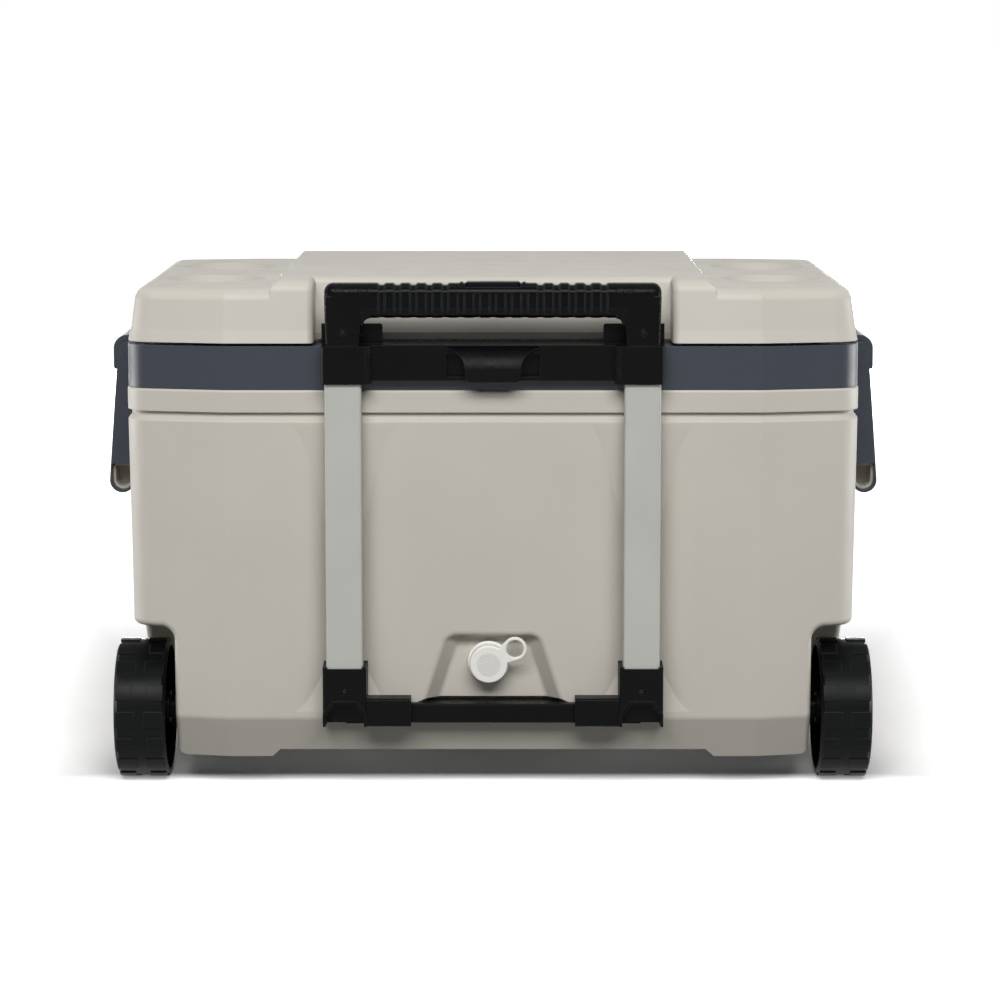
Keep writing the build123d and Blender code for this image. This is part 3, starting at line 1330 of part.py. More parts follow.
def lower_bracket(side):
    """Socket of one outer tube with the sleeve of the crossbar and a pocket below."""
    half = BRACKET_WIDTH / 2
    low = LOWER_BRACKET_Z
    high = low + LOWER_BRACKET_HEIGHT
    x = TUBE_X
    front = BRACKET_FRONT
    bracket = block(x - half, x + half, front, SEAT_Y, low, high)
    bracket = fillet(bracket.edges().filter_by(Axis.Z).sort_by(Axis.Y)[:2], LOWER_BRACKET_RADIUS)
    sleeve_low = low - SLEEVE_DROP
    sleeve_high = sleeve_low + SLEEVE_HEIGHT
    sleeve_front = front + SLEEVE_SETBACK
    sleeve = block(SLEEVE_END_X, x, sleeve_front, FRONT + SLEEVE_BACK, sleeve_low, sleeve_high)
    bracket += fillet(sleeve.edges().filter_by(Axis.X), SLEEVE_RADIUS)
    bracket += front_prism(arch_outline(half, low, low + ARCH_HEIGHT), front - ARCH_PROUD, front + ARCH_RIM)
    bracket -= block(SLEEVE_END_X - OVERLAP, BAR_END_X + GAP, *bar_span(FIT))
    bracket -= stage_solid(1, 0, TUBE_FOOT_Z, high + OVERLAP, FIT)
    lip = TUBE_WIDTH / 2 - OVERLAP
    bracket -= block(x - lip, x + lip, front - OVERLAP, TUBE_Y, high - LOWER_LIP_DROP, high + OVERLAP)
    pocket = arch_outline(half - ARCH_RIM, low - OVERCUT, low + ARCH_HEIGHT - ARCH_RIM)
    bracket -= front_prism(pocket, front - OVERLAP, front + LOWER_POCKET_DEPTH)
    slot = half - BRACKET_WALL
    bracket -= block(x - slot, x + slot, front - OVERLAP, TUBE_BACK, low - OVERCUT, low + LOWER_SLOT_HEIGHT)
    for place in lower_screw_places():
        bracket -= place * screw_hole(LOWER_SCREW_LENGTH)
        bracket -= place * head_hole()
    return at_side(bracket, side)


def lower_crossbar():
    """Bar between the brackets, with a rib that stands in the slot of the body."""
    bar = block(-BAR_END_X, BAR_END_X, *bar_span(0))
    bar = fillet(bar.edges().filter_by(Axis.X), BAR_RADIUS)
    half = BAR_SLOT_TOP_HALF - BAR_RIB_INSET
    low = CREASE_Z + BAR_SLOT_LIFT + BAR_RIB_INSET
    return bar + block(-half, half, BAR_Y + BAR_RADIUS, FRONT + BAR_RIB_REACH, low, BAR_Z + BAR_HEIGHT)


# Grip with its release

def grip_bar(inset):
    """Bar of the grip, drawn in all round by an inset, of which its foot takes a share."""
    deep = GRIP_DEPTH / 2 - inset
    half = GRIP_HALF_LENGTH
    low = GRIP_BOTTOM_Z + inset * RIB_FOOT_SHARE
    bar = block(-half, half, GRIP_Y - deep, GRIP_Y + deep, low, GRIP_TOP_Z - inset)
    return fillet(bar.edges().filter_by(Axis.X), GRIP_RADIUS - inset)


def rib_groove(x, width, core):
    """Groove round the grip down to a core; below the button it stops short of the top."""
    button_room = BUTTON_LENGTH / 2 + STUD_GAP + STUD_SIZE + width / 2
    top = GRIP_TOP_Z + OVERLAP
    if abs(x) < button_room:
        top = GRIP_TOP_Z - RIB_BUTTON_DROP
    half = width / 2
    low = GRIP_BOTTOM_Z - OVERLAP
    slab = block(x - half, x + half, GRIP_Y - GRIP_DEPTH, GRIP_Y + GRIP_DEPTH, low, top)
    return slab - core


def leg(side):
    """Leg of the grip, narrower towards the collar."""
    outer = GRIP_HALF_LENGTH
    inner = outer - LEG_WIDTH
    top = GRIP_TOP_Z - LEG_OVERLAP
    low = LEG_BOTTOM_Z
    outline = [(outer, top), (outer - LEG_TAPER_OUT, low), (inner + LEG_TAPER_IN, low), (inner, top)]
    solid = front_prism(outline, TUBE_FRONT - LEG_WALL, TUBE_BACK + LEG_WALL)
    upright_edges = [e for e in solid.edges() if abs(e.tangent_at(0).Z) > abs(e.tangent_at(0).X)]
    return at_side(fillet(upright_edges, LEG_RADIUS), side)


def knuckle_web(side):
    """Rounded inside corner between leg and grip."""
    x = GRIP_HALF_LENGTH - LEG_WIDTH
    inner = x - KNUCKLE_RADIUS
    low = GRIP_BOTTOM_Z - KNUCKLE_RADIUS
    web = block(inner, x + LEG_TAPER_IN, TUBE_FRONT, TUBE_BACK, low, GRIP_FLOOR_Z)
    web -= rod_y(TUBE_FRONT - OVERLAP, TUBE_BACK + OVERLAP, inner, low, KNUCKLE_RADIUS)
    return at_side(web, side)


def grip_form():
    """Outer form of the grip with its two legs, ribs round the middle."""
    bar = grip_bar(0)
    ends = bar.faces().sort_by(Axis.X)
    form = fillet(ends[0].edges() + ends[-1].edges(), GRIP_END_RADIUS)
    for width, depth in RIB_STEPS:
        core = grip_bar(depth)
        for k in range(RIB_COUNT):
            form -= rib_groove((k - (RIB_COUNT - 1) / 2) * RIB_PITCH, width, core)
    for side in (-1, 1):
        form += leg(side) + knuckle_web(side)
    return form


def grip_body():
    """Grip with its inside: room for the yoke, tube sockets, button slot and screw holes."""
    grip = grip_form()
    half = YOKE_HALF_LENGTH + STUD_GAP / 2
    deep = GRIP_ROOM_HALF_DEPTH
    grip -= block(-half, half, TUBE_Y - deep, TUBE_Y + deep, GRIP_FLOOR_Z, GRIP_ROOF_Z)
    slot = BUTTON_LENGTH / 2 + BUTTON_GAP
    deep = BUTTON_DEPTH / 2 + BUTTON_GAP
    low = YOKE_Z + YOKE_HEIGHT - BUTTON_TRAVEL - GAP
    grip -= block(-slot, slot, TUBE_Y - deep, TUBE_Y + deep, low, GRIP_TOP_Z + OVERLAP)
    for side in (-1, 1):
        stud = Box(STUD_SIZE, STUD_LENGTH, GRIP_ROOF + OVERLAP)
        stud_z = (GRIP_ROOF_Z + GRIP_TOP_Z + OVERLAP) / 2
        grip += Pos(side * (BUTTON_LENGTH / 2 + STUD_GAP), TUBE_Y, stud_z) * stud
        grip -= stage_solid(side, 2, LEG_BOTTOM_Z - OVERLAP, INNER_TOP_Z, FIT)
    for place in leg_screw_places():
        grip -= place * screw_hole(LEG_SCREW_LENGTH)
        grip -= place * head_hole()
    return grip


def grip_half(grip, front):
    """Front or rear half of the grip, split along the middle of the tubes."""
    low, high = (TUBE_Y - GRIP_DEPTH, TUBE_Y) if front else (TUBE_Y, TUBE_Y + GRIP_DEPTH)
    return grip & block(-BODY_WIDTH, BODY_WIDTH, low, high, 0, 2 * GRIP_TOP_Z)


def release_button():
    """Button in the top of the grip, standing on the yoke."""
    half = BUTTON_LENGTH / 2
    deep = BUTTON_DEPTH / 2
    button = block(-half, half, TUBE_Y - deep, TUBE_Y + deep, YOKE_Z + YOKE_HEIGHT, GRIP_TOP_Z + BUTTON_RISE)
    button = fillet(button.edges().filter_by(Axis.Z), BUTTON_RADIUS)
    return fillet(button.faces().sort_by(Axis.Z)[-1].edges(), BUTTON_EDGE_RADIUS)


def release_yoke():
    deep = YOKE_DEPTH / 2
    reach = YOKE_HALF_LENGTH
    return block(-reach, reach, TUBE_Y - deep, TUBE_Y + deep, YOKE_Z, YOKE_Z + YOKE_HEIGHT)


def release_rod(side):
    foot = INNER_FOOT_Z + ROD_FLOOR + BUTTON_TRAVEL + OVERLAP
    return rod_z(foot, YOKE_Z, rod_place(side), TUBE_Y, ROD_RADIUS)


def release_spring():
    """Coil spring between the grip's floor and the yoke."""
    height = YOKE_Z - GRIP_FLOOR_Z - 2 * SPRING_WIRE
    coil = Helix(height / SPRING_TURNS, height, SPRING_RADIUS)
    path = Pos(0, TUBE_Y, GRIP_FLOOR_Z + SPRING_WIRE) * coil
    start = path.edge() ^ 0
    return sweep(start * Circle(SPRING_WIRE), path=path.edge())


# Side handles

def tapered_link(first, first_radius, second, second_radius):
    """Front-view face of two circles joined by their outer tangent lines."""
    top = Vector(*first)
    low = Vector(*second)
    span = low - top
    turn = math.atan2(span.Y, span.X)
    tilt = math.acos((first_radius - second_radius) / span.length)
    corners = []
    for sign in (1, -1):
        step = Vector(math.cos(turn + sign * tilt), math.sin(turn + sign * tilt))
        corners.append([top + step * first_radius, low + step * second_radius])
    ring = [corners[0][0], corners[0][1], corners[1][1], corners[1][0]]
    face = make_face(Polyline(*[(p.X, p.Y) for p in ring], close=True))
    face += Pos(top.X, top.Y) * Circle(first_radius)
    return face + Pos(low.X, low.Y) * Circle(second_radius)


def arm_profile():
    """Front-view face of one arm: a top eye and a wider lower end."""
    eye = (SIDE_PIVOT_X, SIDE_PIVOT_Z)
    return tapered_link(eye, SIDE_ARM_TOP_RADIUS, (SIDE_GRIP_X, SIDE_GRIP_Z), SIDE_GRIP_RADIUS)


def grip_profile(wall, roof=0):
    """Front-view face of the hand grip: round below, straight sides above."""
    radius = SIDE_GRIP_RADIUS - wall
    straight = SIDE_GRIP_STRAIGHT - roof
    face = Pos(SIDE_GRIP_X, SIDE_GRIP_Z) * Circle(radius)
    return face + Pos(SIDE_GRIP_X, SIDE_GRIP_Z + straight / 2) * Rectangle(2 * radius, straight)


def along_y(face, y_low, y_high):
    """Front-view face drawn in X and Z, pushed along Y."""
    upright_plane = Plane(origin=(0, y_high, 0), x_dir=(1, 0, 0), z_dir=(0, -1, 0))
    return extrude(upright_plane * face, amount=y_high - y_low)


def side_bail(side):
    """Two arms joined by an open channel that holds the grip insert."""
    channel_reach = ARM_INNER_Y + OVERLAP
    bail = along_y(grip_profile(0), MID_Y - channel_reach, MID_Y + channel_reach)
    for low, high in ((-ARM_OUTER_Y, -ARM_INNER_Y), (ARM_INNER_Y, ARM_OUTER_Y)):
        bail += along_y(arm_profile(), MID_Y + low, MID_Y + high)
    reach = ARM_OUTER_Y + OVERLAP
    bail -= along_y(grip_profile(CHANNEL_WALL), MID_Y - reach, MID_Y + reach)
    bore = ARM_OUTER_Y - SIDE_PIN_COVER
    bail -= rod_y(MID_Y - bore, MID_Y + bore, SIDE_PIVOT_X, SIDE_PIVOT_Z, SIDE_PIN_RADIUS + TURN_FIT)
    return at_side(bail, side)


def side_grip(side):
    """Hand grip insert, filling the channel and ending inside the arms."""
    reach = ARM_OUTER_Y - SIDE_GRIP_SINK
    insert = along_y(grip_profile(CHANNEL_WALL), MID_Y - reach, MID_Y + reach)
    upper = insert.faces().sort_by(Axis.Z)[-1].edges().filter_by(Axis.Y)
    insert = fillet(upper, SIDE_GRIP_EDGE)
    hollow = grip_profile(CHANNEL_WALL + SIDE_GRIP_WALL, SIDE_GRIP_WALL)
    deep = reach - SIDE_GRIP_HOLLOW
    for low, high in ((-reach - OVERLAP, -deep), (deep, reach + OVERLAP)):
        insert -= along_y(hollow, MID_Y + low, MID_Y + high)
    return at_side(insert, side)


def side_mount(side):
    """Housing on the band that carries the pivot pin."""
    low = SIDE_PIVOT_Z - MOUNT_DROP
    high = low + MOUNT_HEIGHT
    half = MOUNT_HALF_LENGTH
    outer = SIDE_REACH - MOUNT_STEP
    mount = block(BAND_SIDE_X, outer, MID_Y - half, MID_Y + half, low, high)
    top_edges = [e for e in mount.edges().filter_by(Axis.Y) if e.center().Z > high - FIT]
    mount = fillet(sorted(top_edges, key=lambda e: e.center().X)[-1:], MOUNT_RADIUS)
    room = half - MOUNT_END_WALL
    inner = BAND_SIDE_X + MOUNT_PLATE
    mount -= block(inner, outer - MOUNT_WALL, MID_Y - room, MID_Y + room, low - OVERLAP, high - MOUNT_ROOF)
    reach = half + OVERLAP
    mount -= rod_y(MID_Y - reach, MID_Y + reach, SIDE_PIVOT_X, SIDE_PIVOT_Z, SIDE_PIN_RADIUS + FIT)
    mount = at_side(mount, side)
    for place in mount_screw_places():
        mount -= place * screw_hole(MOUNT_SCREW_LENGTH)
    return mount


def side_pin(side):
    reach = ARM_OUTER_Y - SIDE_PIN_COVER - GAP
    return rod_y(MID_Y - reach, MID_Y + reach, side * SIDE_PIVOT_X, SIDE_PIVOT_Z, SIDE_PIN_RADIUS)


# All pieces

def pieces():
    """Every node of the object with its shape."""
    box_room = body_room()
    lid_space = lid_room()
    grip = grip_body()
    wheel = wheel_at_right()
    nodes = {
        "body_shell": body_shell(box_room),
        "body_insulation": body_insulation(box_room),
        "body_liner": body_liner(),
        "rim_band": rim_band(),
        "drain_spout": drain_spout(),
        "drain_washer": drain_washer(),
        "drain_nut": drain_nut(),
        "drain_plug": drain_plug(),
        "wheel_axle": wheel_axle(),
        "wheel_left": at_side(wheel, -1),
        "wheel_right": wheel,
        "axle_washers": axle_washers(),
        "axle_caps": axle_caps(),
        "lid_shell": lid_shell(lid_space),
        "lid_insulation": lid_insulation(lid_space),
        "lid_liner": lid_liner(),
        "hinge_base_screws": screw_group(hinge_base_places(), HINGE_SCREW_LENGTH),
        "hinge_leaf_screws": screw_group(hinge_leaf_places(), HINGE_SCREW_LENGTH),
        "upper_bracket": upper_bracket(),
        "upper_bracket_screws": screw_group(upper_screw_places(), UPPER_SCREW_LENGTH),
        "lower_bracket_screws": screw_group(lower_screw_places(), LOWER_SCREW_LENGTH),
        "lower_crossbar": lower_crossbar(),
        "grip_front": grip_half(grip, True),
        "grip_rear": grip_half(grip, False),
        "grip_screws": screw_group(leg_screw_places(), LEG_SCREW_LENGTH),
        "release_button": release_button(),
        "release_yoke": release_yoke(),
        "release_spring": release_spring(),
        "side_mount_screws": screw_group(mount_screw_places(), MOUNT_SCREW_LENGTH),
    }
    pairs = {
        "hinge_base": hinge_base,
        "hinge_leaf": hinge_leaf,
        "hinge_pin": hinge_pin,
        "outer_tube": outer_tube,
        "middle_tube": middle_tube,
        "middle_bush": middle_bush,
        "inner_tube": inner_tube,
        "lock_block": lock_block,
        "lock_pin": lock_pin,
        "lower_bracket": lower_bracket,
        "release_rod": release_rod,
        "side_mount": side_mount,
        "side_bail": side_bail,
        "side_grip": side_grip,
        "side_pin": side_pin,
    }
    for name, make in pairs.items():
        nodes[name + "_left"] = make(-1)
        nodes[name + "_right"] = make(1)
    return nodes


for node, shape in pieces().items():
    export_step(shape, f"parts/{node}.step")
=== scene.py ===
import json
import math

import bpy
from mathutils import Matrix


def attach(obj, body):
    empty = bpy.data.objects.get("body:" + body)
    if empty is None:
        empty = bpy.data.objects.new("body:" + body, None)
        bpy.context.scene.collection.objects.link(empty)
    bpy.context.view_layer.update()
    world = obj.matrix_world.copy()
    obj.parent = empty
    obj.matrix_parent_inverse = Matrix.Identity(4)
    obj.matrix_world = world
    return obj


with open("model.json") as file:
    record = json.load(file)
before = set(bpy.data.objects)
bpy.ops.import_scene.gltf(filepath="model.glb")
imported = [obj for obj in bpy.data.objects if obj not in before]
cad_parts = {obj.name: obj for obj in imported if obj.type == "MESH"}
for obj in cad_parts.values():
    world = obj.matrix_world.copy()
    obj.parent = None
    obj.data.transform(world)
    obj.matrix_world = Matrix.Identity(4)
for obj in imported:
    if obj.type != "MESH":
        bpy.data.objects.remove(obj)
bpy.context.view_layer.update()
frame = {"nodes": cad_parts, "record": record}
NODES = frame["nodes"]

# Camera that sees the object as the photograph does: metres, degrees, and millimetres for lens and sensor
CAMERA_PLACE = (0.0065, -3.2705, 0.7043)
CAMERA_PITCH = 82.014
CAMERA_LENS = 120.6
CAMERA_REACH = 100
SENSOR_WIDTH = 36.0

# Lamps: name, place, width and height in metres, and watts
LAMP_TARGET = (0, 0, 0.25)
LAMPS = (
    ("front", (0, -3.6, 3.0), 2.8, 1.6, 167),
    ("left", (-3.4, 0.7, 0.26), 2.4, 0.45, 56),
    ("right", (3.4, 0.7, 0.26), 2.4, 0.45, 56),
    ("rear", (0, 3.8, 0.26), 3.2, 0.45, 78),
    ("top", (0, -0.45, 2.4), 0.8, 0.06, 2.6),
    ("key", (-1.1, -2.2, 2.0), 0.35, 0.18, 7),
    ("key", (1.1, -2.2, 2.0), 0.35, 0.18, 7),
)
WORLD_LIGHT = 0.12
WORLD_SEEN = 1.0

# Colours, linear
SAND = (0.520, 0.492, 0.438)
SLATE = (0.034, 0.041, 0.054)
BLACK = (0.0022, 0.0024, 0.0026)
WHEEL_BLACK = (0.0045, 0.0050, 0.0050)
TUBE_GREY = (0.40, 0.405, 0.375)
PLUG_WHITE = (0.78, 0.77, 0.73)
# Plug's white painted darker on its diamond ridges as painted shade
PATTERN_PAINTED_SHADE = (0.68, 0.67, 0.63)
LINER_WHITE = (0.80, 0.80, 0.78)
STEEL = (0.55, 0.55, 0.56)
DARK_STEEL = (0.012, 0.012, 0.013)
RUBBER = (0.018, 0.018, 0.019)
FOAM = (0.72, 0.62, 0.36)

# Strength of the reflection on each plastic
PLAIN_SHINE = 0.5
SAND_SHINE = 0.35
BLACK_SHINE = 0.05
GRIP_SHINE = 0.05
WHEEL_SHINE = 0.06
SLATE_SHINE = 0.22

# How many times lighter the edges of the black pieces are painted: a little of it is rubbing, the rest is
# a painted highlight
BRACKET_WEAR_AND_HIGHLIGHT = 8
GRIP_WEAR_AND_HIGHLIGHT = 16
WHEEL_WEAR_AND_HIGHLIGHT = 5.0

# Floor: size and drop below the feet in metres, and its white as it is seen and as it throws light back
FLOOR_SIZE = 60
FLOOR_DROP = 0.0003
FLOOR_SEEN = 0.98
FLOOR_BOUNCE = 0.06

# Shaded patch of the floor: where it begins to turn white and where it is white, in metres
SHADE_SIDE = (0.37, 0.60)
SHADE_FRONT = (-0.13, -0.20)
SHADE_REAR = (0.30, 1.10)

# Drain plug, in metres: middle of its face seen from the front, and the diamond pattern on it
PLUG_MIDDLE = (-0.004, 0.121)
KNURL_RADIUS = 0.0108
KNURL_PITCH = 0.0017
KNURL_WIDTH = 0.0007
KNURL_HEIGHT = 0.0005

# Grip, in metres: from its middle to where the pebbled ends begin, and the size of a pebble
RIBBED_HALF = 0.108
RIBBED_BLEND = 0.004
PEBBLE = 0.0013

# Drawn lines on the tubes: noise grains to a metre across a tube, and the share of that along it
LINE_SCALE = 900
LINE_STRETCH = 0.01


def shade(colour, factor):
    """A colour made lighter or darker."""
    return tuple(channel * factor for channel in colour)


class Surface:
    """A material under construction, with short ways to add its nodes."""

    def __init__(self, name):
        self.material = bpy.data.materials.new(name)
        self.material.use_nodes = True
        self.tree = self.material.node_tree
        self.shader = self.tree.nodes["Principled BSDF"]
        self.place = self.add("ShaderNodeTexCoord").outputs["Object"]

    def add(self, kind, **settings):
        node = self.tree.nodes.new(kind)
        for key, value in settings.items():
            setattr(node, key, value)
        return node

    def link(self, output, socket):
        self.tree.links.new(output, socket)

    def noise(self, size, detail=2.0, rough=0.5):
        """Noise whose grains have a size in metres."""
        node = self.add("ShaderNodeTexNoise")
        self.link(self.place, node.inputs["Vector"])
        node.inputs["Scale"].default_value = 1 / size
        node.inputs["Detail"].default_value = detail
        node.inputs["Roughness"].default_value = rough
        return node.outputs["Fac"]

    def cells(self, size):
        """Rounded cells of a size in metres, as the distance from each cell's middle."""
        node = self.add("ShaderNodeTexVoronoi")
        node.feature = "SMOOTH_F1"
        self.link(self.place, node.inputs["Vector"])
        node.inputs["Scale"].default_value = 1 / size
        return node.outputs["Distance"]

    def ramp(self, value, low, high, low_out=0.0, high_out=1.0):
        """A value spread from one range to another, and held inside it."""
        node = self.add("ShaderNodeMapRange")
        self.link(value, node.inputs["Value"])
        node.inputs["From Min"].default_value = low
        node.inputs["From Max"].default_value = high
        node.inputs["To Min"].default_value = low_out
        node.inputs["To Max"].default_value = high_out
        return node.outputs["Result"]

    def mix(self, factor, first, second):
        """Colour between two; each may be a colour or another node's output."""
        node = self.add("ShaderNodeMix", data_type="RGBA")
        self.link(factor, node.inputs["Factor"])
        for socket, colour in ((node.inputs[6], first), (node.inputs[7], second)):
            if isinstance(colour, tuple):
                socket.default_value = (*colour, 1)
            else:
                self.link(colour, socket)
        return node.outputs[2]

    def rounded(self, radius):
        """Normal of the surface with its edges rounded."""
        node = self.add("ShaderNodeBevel", samples=6)
        node.inputs["Radius"].default_value = radius
        return node.outputs["Normal"]

    def edges(self, radius):
        """Mask that is 1 on the edges of the shape."""
        dot = self.add("ShaderNodeVectorMath", operation="DOT_PRODUCT")
        self.link(self.rounded(radius), dot.inputs[0])
        self.link(self.add("ShaderNodeNewGeometry").outputs["Normal"], dot.inputs[1])
        return self.ramp(dot.outputs["Value"], 0.995, 0.80)

    def bump(self, height, depth, strength=1.0, normal=None):
        """Normal that follows a height, with its depth in metres."""
        node = self.add("ShaderNodeBump")
        self.link(height, node.inputs["Height"])
        node.inputs["Distance"].default_value = depth
        node.inputs["Strength"].default_value = strength
        if normal is not None:
            self.link(normal, node.inputs["Normal"])
        return node.outputs["Normal"]

    def finish(self, colour, roughness, normal, shine=PLAIN_SHINE):
        """Joins the colour, roughness and normal to the shader."""
        self.shader.inputs["Specular IOR Level"].default_value = shine
        self.link(colour, self.shader.inputs["Base Color"])
        self.link(roughness, self.shader.inputs["Roughness"])
        self.link(normal, self.shader.inputs["Normal"])
        return self.material


def moulded_plastic(name, colour, gloss, edge=0.0008, mottle=0.015, edge_wear_and_highlight=1.12, shine=PLAIN_SHINE):
    """Moulded plastic: fine grain, faint cloudiness, softly rounded edges painted lighter, as slight
    rubbing and, where the factor is large, as a painted highlight.
    """
    s = Surface(name)
    cloud = s.ramp(s.noise(0.09, 3), 0.35, 0.65)
    tone = s.mix(cloud, shade(colour, 1 - mottle), shade(colour, 1 + mottle))
    # Edges painted lighter: slight rubbing, and with a large factor a painted highlight
    tone = s.mix(s.edges(edge * 1.5), tone, shade(colour, edge_wear_and_highlight))
    patchy = s.ramp(s.noise(0.03, 4), 0.3, 0.7, gloss - 0.05, gloss + 0.06)
    normal = s.bump(s.noise(0.0006, 2), 0.00004, 0.5, s.rounded(edge))
    return s.finish(tone, patchy, normal, shine)


def pebbled_plastic(name, colour, gloss, depth=0.00016, edge=0.0007):
    """Black plastic with a leathery pebble grain."""
    s = Surface(name)
    cloud = s.ramp(s.noise(0.05, 3), 0.35, 0.65)
    pebbles = s.ramp(s.cells(PEBBLE), 0.15, 0.6, 1.0, 0.0)
    tone = s.mix(cloud, shade(colour, 0.85), shade(colour, 1.2))
    # Edges painted much lighter: a little rubbing, mostly a painted highlight
    tone = s.mix(s.edges(edge * 1.6), tone, shade(colour, BRACKET_WEAR_AND_HIGHLIGHT))
    patchy = s.ramp(s.noise(0.02, 4), 0.3, 0.7, gloss - 0.06, gloss + 0.08)
    normal = s.bump(pebbles, depth, 0.5, s.rounded(edge))
    return s.finish(tone, patchy, normal, BLACK_SHINE)


def grip_finish():
    """Black grip plastic, pebbled at both ends and smooth on the ribs."""
    s = Surface("grip_plastic")
    across = s.add("ShaderNodeSeparateXYZ")
    s.link(s.place, across.inputs["Vector"])
    away = s.add("ShaderNodeMath", operation="ABSOLUTE")
    s.link(across.outputs["X"], away.inputs[0])
    ends = s.ramp(away.outputs["Value"], RIBBED_HALF, RIBBED_HALF + RIBBED_BLEND)
    pebbles = s.ramp(s.cells(PEBBLE), 0.15, 0.6, 1.0, 0.0)
    grain = s.add("ShaderNodeMath", operation="MULTIPLY")
    s.link(pebbles, grain.inputs[0])
    s.link(ends, grain.inputs[1])
    cloud = s.ramp(s.noise(0.05, 3), 0.35, 0.65)
    tone = s.mix(cloud, shade(BLACK, 0.85), shade(BLACK, 1.2))
    # Rib edges painted much lighter: a painted highlight along the ribs, with a little rubbing
    tone = s.mix(s.edges(0.0012), tone, shade(BLACK, GRIP_WEAR_AND_HIGHLIGHT))
    gloss = s.ramp(s.noise(0.02, 4), 0.3, 0.7, 0.14, 0.20)
    normal = s.bump(grain.outputs["Value"], 0.00022, 0.6, s.rounded(0.0009))
    return s.finish(tone, gloss, normal, GRIP_SHINE)


def tube_finish():
    """Satin painted tube with faint lines drawn along it."""
    s = Surface("tube_satin")
    stretch = s.add("ShaderNodeMapping")
    s.link(s.place, stretch.inputs["Vector"])
    stretch.inputs["Scale"].default_value = (1.0, 1.0, LINE_STRETCH)
    lines = s.add("ShaderNodeTexNoise")
    s.link(stretch.outputs["Vector"], lines.inputs["Vector"])
    lines.inputs["Scale"].default_value = LINE_SCALE
    cloud = s.ramp(s.noise(0.06, 3), 0.35, 0.65)
    tone = s.mix(cloud, shade(TUBE_GREY, 0.97), shade(TUBE_GREY, 1.03))
    patchy = s.ramp(s.noise(0.015, 4), 0.3, 0.7, 0.34, 0.46)
    normal = s.bump(lines.outputs["Fac"], 0.00003, 0.3, s.rounded(0.0006))
    material = s.finish(tone, patchy, normal)
    s.shader.inputs["Metallic"].default_value = 0.1
    return material


def steel_finish(name, colour):
    """Bare steel with fine turning marks."""
    s = Surface(name)
    tone = s.mix(s.ramp(s.noise(0.004, 3), 0.35, 0.65), shade(colour, 0.85), shade(colour, 1.1))
    patchy = s.ramp(s.noise(0.002, 4), 0.3, 0.7, 0.28, 0.42)
    material = s.finish(tone, patchy, s.bump(s.noise(0.0004, 2), 0.00002, 0.4, s.rounded(0.0003)))
    s.shader.inputs["Metallic"].default_value = 1.0
    return material


def foam_finish():
    """Pale insulating foam with small open bubbles, painted darker in their middles as shade in the
    hollows.
    """
    s = Surface("foam")
    bubbles = s.cells(0.0025)
    # Bubble middles painted darker: painted shade in the hollows
    tone = s.mix(s.ramp(bubbles, 0.1, 0.5), shade(FOAM, 0.8), FOAM)
    return s.finish(tone, s.ramp(bubbles, 0.0, 0.6, 0.85, 0.95), s.bump(bubbles, 0.0006))


def dress():
    """Gives every node its material."""
    slots = {part["node"]: part["material_slot"] for part in frame["record"]["subparts"]}
    finishes = {
        "sand_plastic": moulded_plastic("sand_plastic", SAND, 0.46, edge_wear_and_highlight=1.05, shine=SAND_SHINE),
        "liner_plastic": moulded_plastic("liner_plastic", LINER_WHITE, 0.35, edge_wear_and_highlight=1.03),
        "slate_plastic": moulded_plastic("slate_plastic", SLATE, 0.36, edge_wear_and_highlight=1.5, shine=SLATE_SHINE),
        "black_plastic": pebbled_plastic("black_plastic", BLACK, 0.30),
        # Tread edges painted five times lighter: a painted highlight on the lugs
        "wheel_plastic": moulded_plastic(
            "wheel_plastic", WHEEL_BLACK, 0.32, mottle=0.12, edge_wear_and_highlight=WHEEL_WEAR_AND_HIGHLIGHT, shine=WHEEL_SHINE
        ),
        "white_plastic": moulded_plastic("white_plastic", PLUG_WHITE, 0.38, edge_wear_and_highlight=1.02),
        # Diamond pattern in the plug's white painted darker: painted shade on the ridges
        "pattern": moulded_plastic("pattern_painted_shade", PATTERN_PAINTED_SHADE, 0.38, edge_wear_and_highlight=1.02),
        "tube_paint": tube_finish(),
        "steel": steel_finish("steel", STEEL),
        "black_steel": steel_finish("black_steel", DARK_STEEL),
        "rubber": moulded_plastic("rubber", RUBBER, 0.7, edge_wear_and_highlight=1.6),
        "foam": foam_finish(),
    }
    grip = grip_finish()
    for name, node in NODES.items():
        ribbed = name.startswith("grip_") and slots[name] == "black_plastic"
        finish = grip if ribbed else finishes[slots[name]]
        node.data.materials.clear()
        node.data.materials.append(finish)
    return finishes


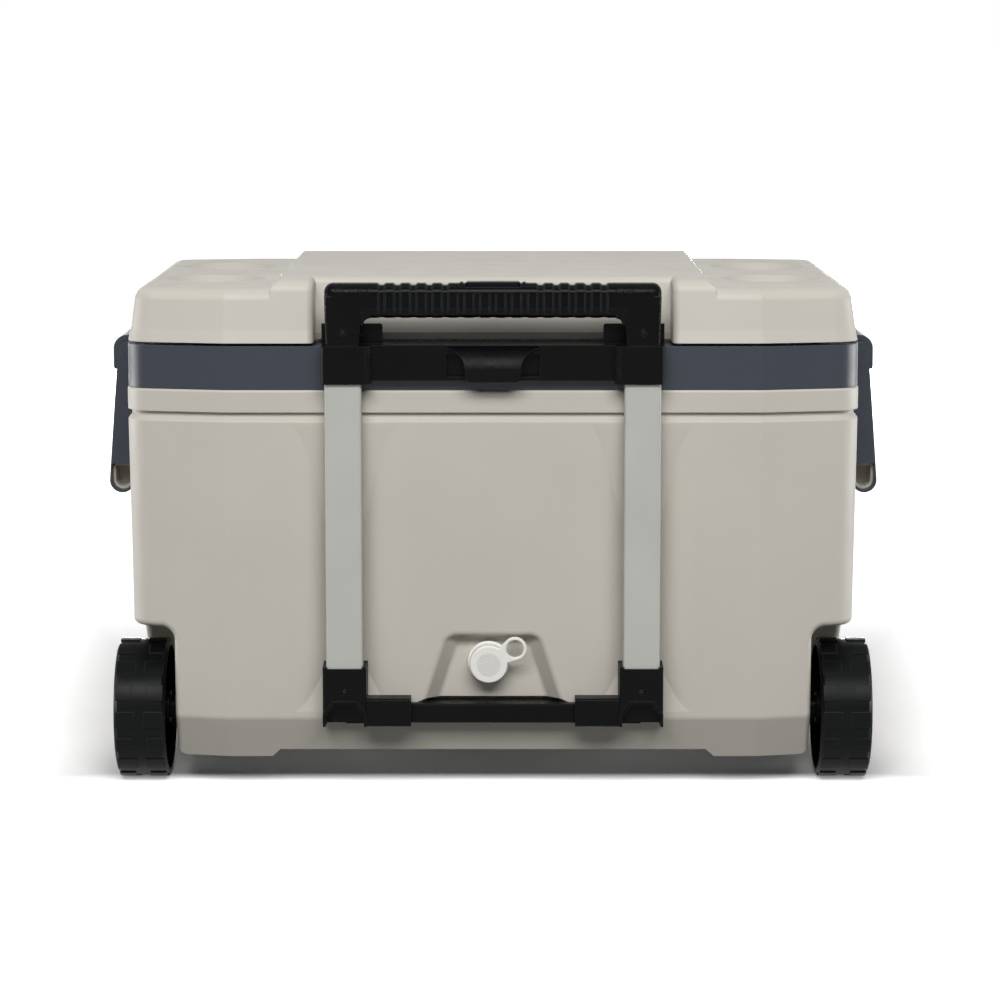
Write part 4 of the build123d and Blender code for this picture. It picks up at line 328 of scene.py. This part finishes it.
def add_plug_pattern(material):
    """Fine raised diamond pattern on the face of the drain plug."""
    plug = NODES["drain_plug"]
    front = min((plug.matrix_world @ v.co).y for v in plug.data.vertices)
    corners = []
    faces = []
    count = int(KNURL_RADIUS / KNURL_PITCH)
    for turn in (math.radians(45), math.radians(135)):
        along = (math.cos(turn), math.sin(turn))
        aside = (-along[1], along[0])
        for k in range(-count, count + 1):
            offset = k * KNURL_PITCH
            half = math.sqrt(KNURL_RADIUS**2 - offset**2)
            start = len(corners)
            for step, lift in ((-KNURL_WIDTH / 2, 0), (0, KNURL_HEIGHT), (KNURL_WIDTH / 2, 0)):
                for end in (-half, half):
                    x = PLUG_MIDDLE[0] + along[0] * end + aside[0] * (offset + step)
                    z = PLUG_MIDDLE[1] + along[1] * end + aside[1] * (offset + step)
                    corners.append((x, front - lift, z))
            faces.append((start, start + 1, start + 3, start + 2))
            faces.append((start + 2, start + 3, start + 5, start + 4))
    mesh = bpy.data.meshes.new("plug_pattern")
    mesh.from_pydata(corners, [], faces)
    mesh.materials.append(material)
    pattern = bpy.data.objects.new("plug_pattern", mesh)
    bpy.context.scene.collection.objects.link(pattern)
    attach(pattern, "plug")


def add_camera():
    """Camera at the photograph's place."""
    data = bpy.data.cameras.new("camera")
    data.lens = CAMERA_LENS
    data.sensor_width = SENSOR_WIDTH
    data.clip_end = CAMERA_REACH
    camera = bpy.data.objects.new("camera", data)
    camera.location = CAMERA_PLACE
    camera.rotation_euler = (math.radians(CAMERA_PITCH), 0, 0)
    bpy.context.scene.collection.objects.link(camera)
    bpy.context.scene.camera = camera


def add_softbox(name, place, width, height, watts):
    """Soft lamp that points at the object."""
    data = bpy.data.lights.new(name, "AREA")
    data.shape = "RECTANGLE"
    data.size = width
    data.size_y = height
    data.energy = watts
    lamp = bpy.data.objects.new(name, data)
    lamp.location = place
    way = [t - p for t, p in zip(LAMP_TARGET, place)]
    flat = math.hypot(way[0], way[1])
    lamp.rotation_euler = (math.atan2(flat, -way[2]), 0, math.atan2(-way[0], way[1]))
    bpy.context.scene.collection.objects.link(lamp)


def background_rays(tree):
    """1 for the rays that see the background: from the camera, from a reflection or through glass."""
    rays = tree.nodes.new("ShaderNodeLightPath")
    seen = rays.outputs["Is Camera Ray"]
    for kind in ("Is Glossy Ray", "Is Transmission Ray"):
        either = tree.nodes.new("ShaderNodeMath")
        either.operation = "MAXIMUM"
        tree.links.new(seen, either.inputs[0])
        tree.links.new(rays.outputs[kind], either.inputs[1])
        seen = either.outputs["Value"]
    return seen


def add_world():
    """White for what the camera sees, and softer light for the rest."""
    world = bpy.data.worlds.new("world")
    world.use_nodes = True
    tree = world.node_tree
    background = tree.nodes["Background"]
    background.inputs["Color"].default_value = (1, 1, 1, 1)
    strength = tree.nodes.new("ShaderNodeMapRange")
    tree.links.new(background_rays(tree), strength.inputs["Value"])
    strength.inputs["To Min"].default_value = WORLD_LIGHT
    strength.inputs["To Max"].default_value = WORLD_SEEN
    tree.links.new(strength.outputs["Result"], background.inputs["Strength"])
    bpy.context.scene.world = world


def floor_finish():
    """White floor that keeps the shadow, glows white away from it and throws little light back."""
    s = Surface("floor")
    seen = background_rays(s.tree)
    split = s.add("ShaderNodeSeparateXYZ")
    s.link(s.place, split.inputs["Vector"])
    aside = s.add("ShaderNodeMath", operation="ABSOLUTE")
    s.link(split.outputs["X"], aside.inputs[0])
    far = s.ramp(aside.outputs["Value"], *SHADE_SIDE)
    for span in (SHADE_FRONT, SHADE_REAR):
        either = s.add("ShaderNodeMath", operation="MAXIMUM")
        s.link(far, either.inputs[0])
        s.link(s.ramp(split.outputs["Y"], *span), either.inputs[1])
        far = either.outputs["Value"]
    glow = s.add("ShaderNodeMath", operation="MULTIPLY")
    s.link(seen, glow.inputs[0])
    s.link(far, glow.inputs[1])
    s.link(s.mix(seen, (FLOOR_BOUNCE,) * 3, (FLOOR_SEEN,) * 3), s.shader.inputs["Base Color"])
    s.link(glow.outputs["Value"], s.shader.inputs["Emission Strength"])
    s.shader.inputs["Emission Color"].default_value = (1, 1, 1, 1)
    s.shader.inputs["Roughness"].default_value = 1.0
    s.shader.inputs["Specular IOR Level"].default_value = 0.0
    return s.material


def add_floor():
    """Plain floor just under the feet, as a part of the stage."""
    bpy.ops.mesh.primitive_plane_add(size=FLOOR_SIZE, location=(0, 0, -FLOOR_DROP))
    floor = bpy.context.active_object
    floor.name = "floor"
    floor.data.materials.append(floor_finish())


bpy.context.scene.view_settings.view_transform = "Standard"
finishes = dress()
add_plug_pattern(finishes["pattern"])
add_camera()
for lamp in LAMPS:
    add_softbox(*lamp)
add_world()
add_floor()
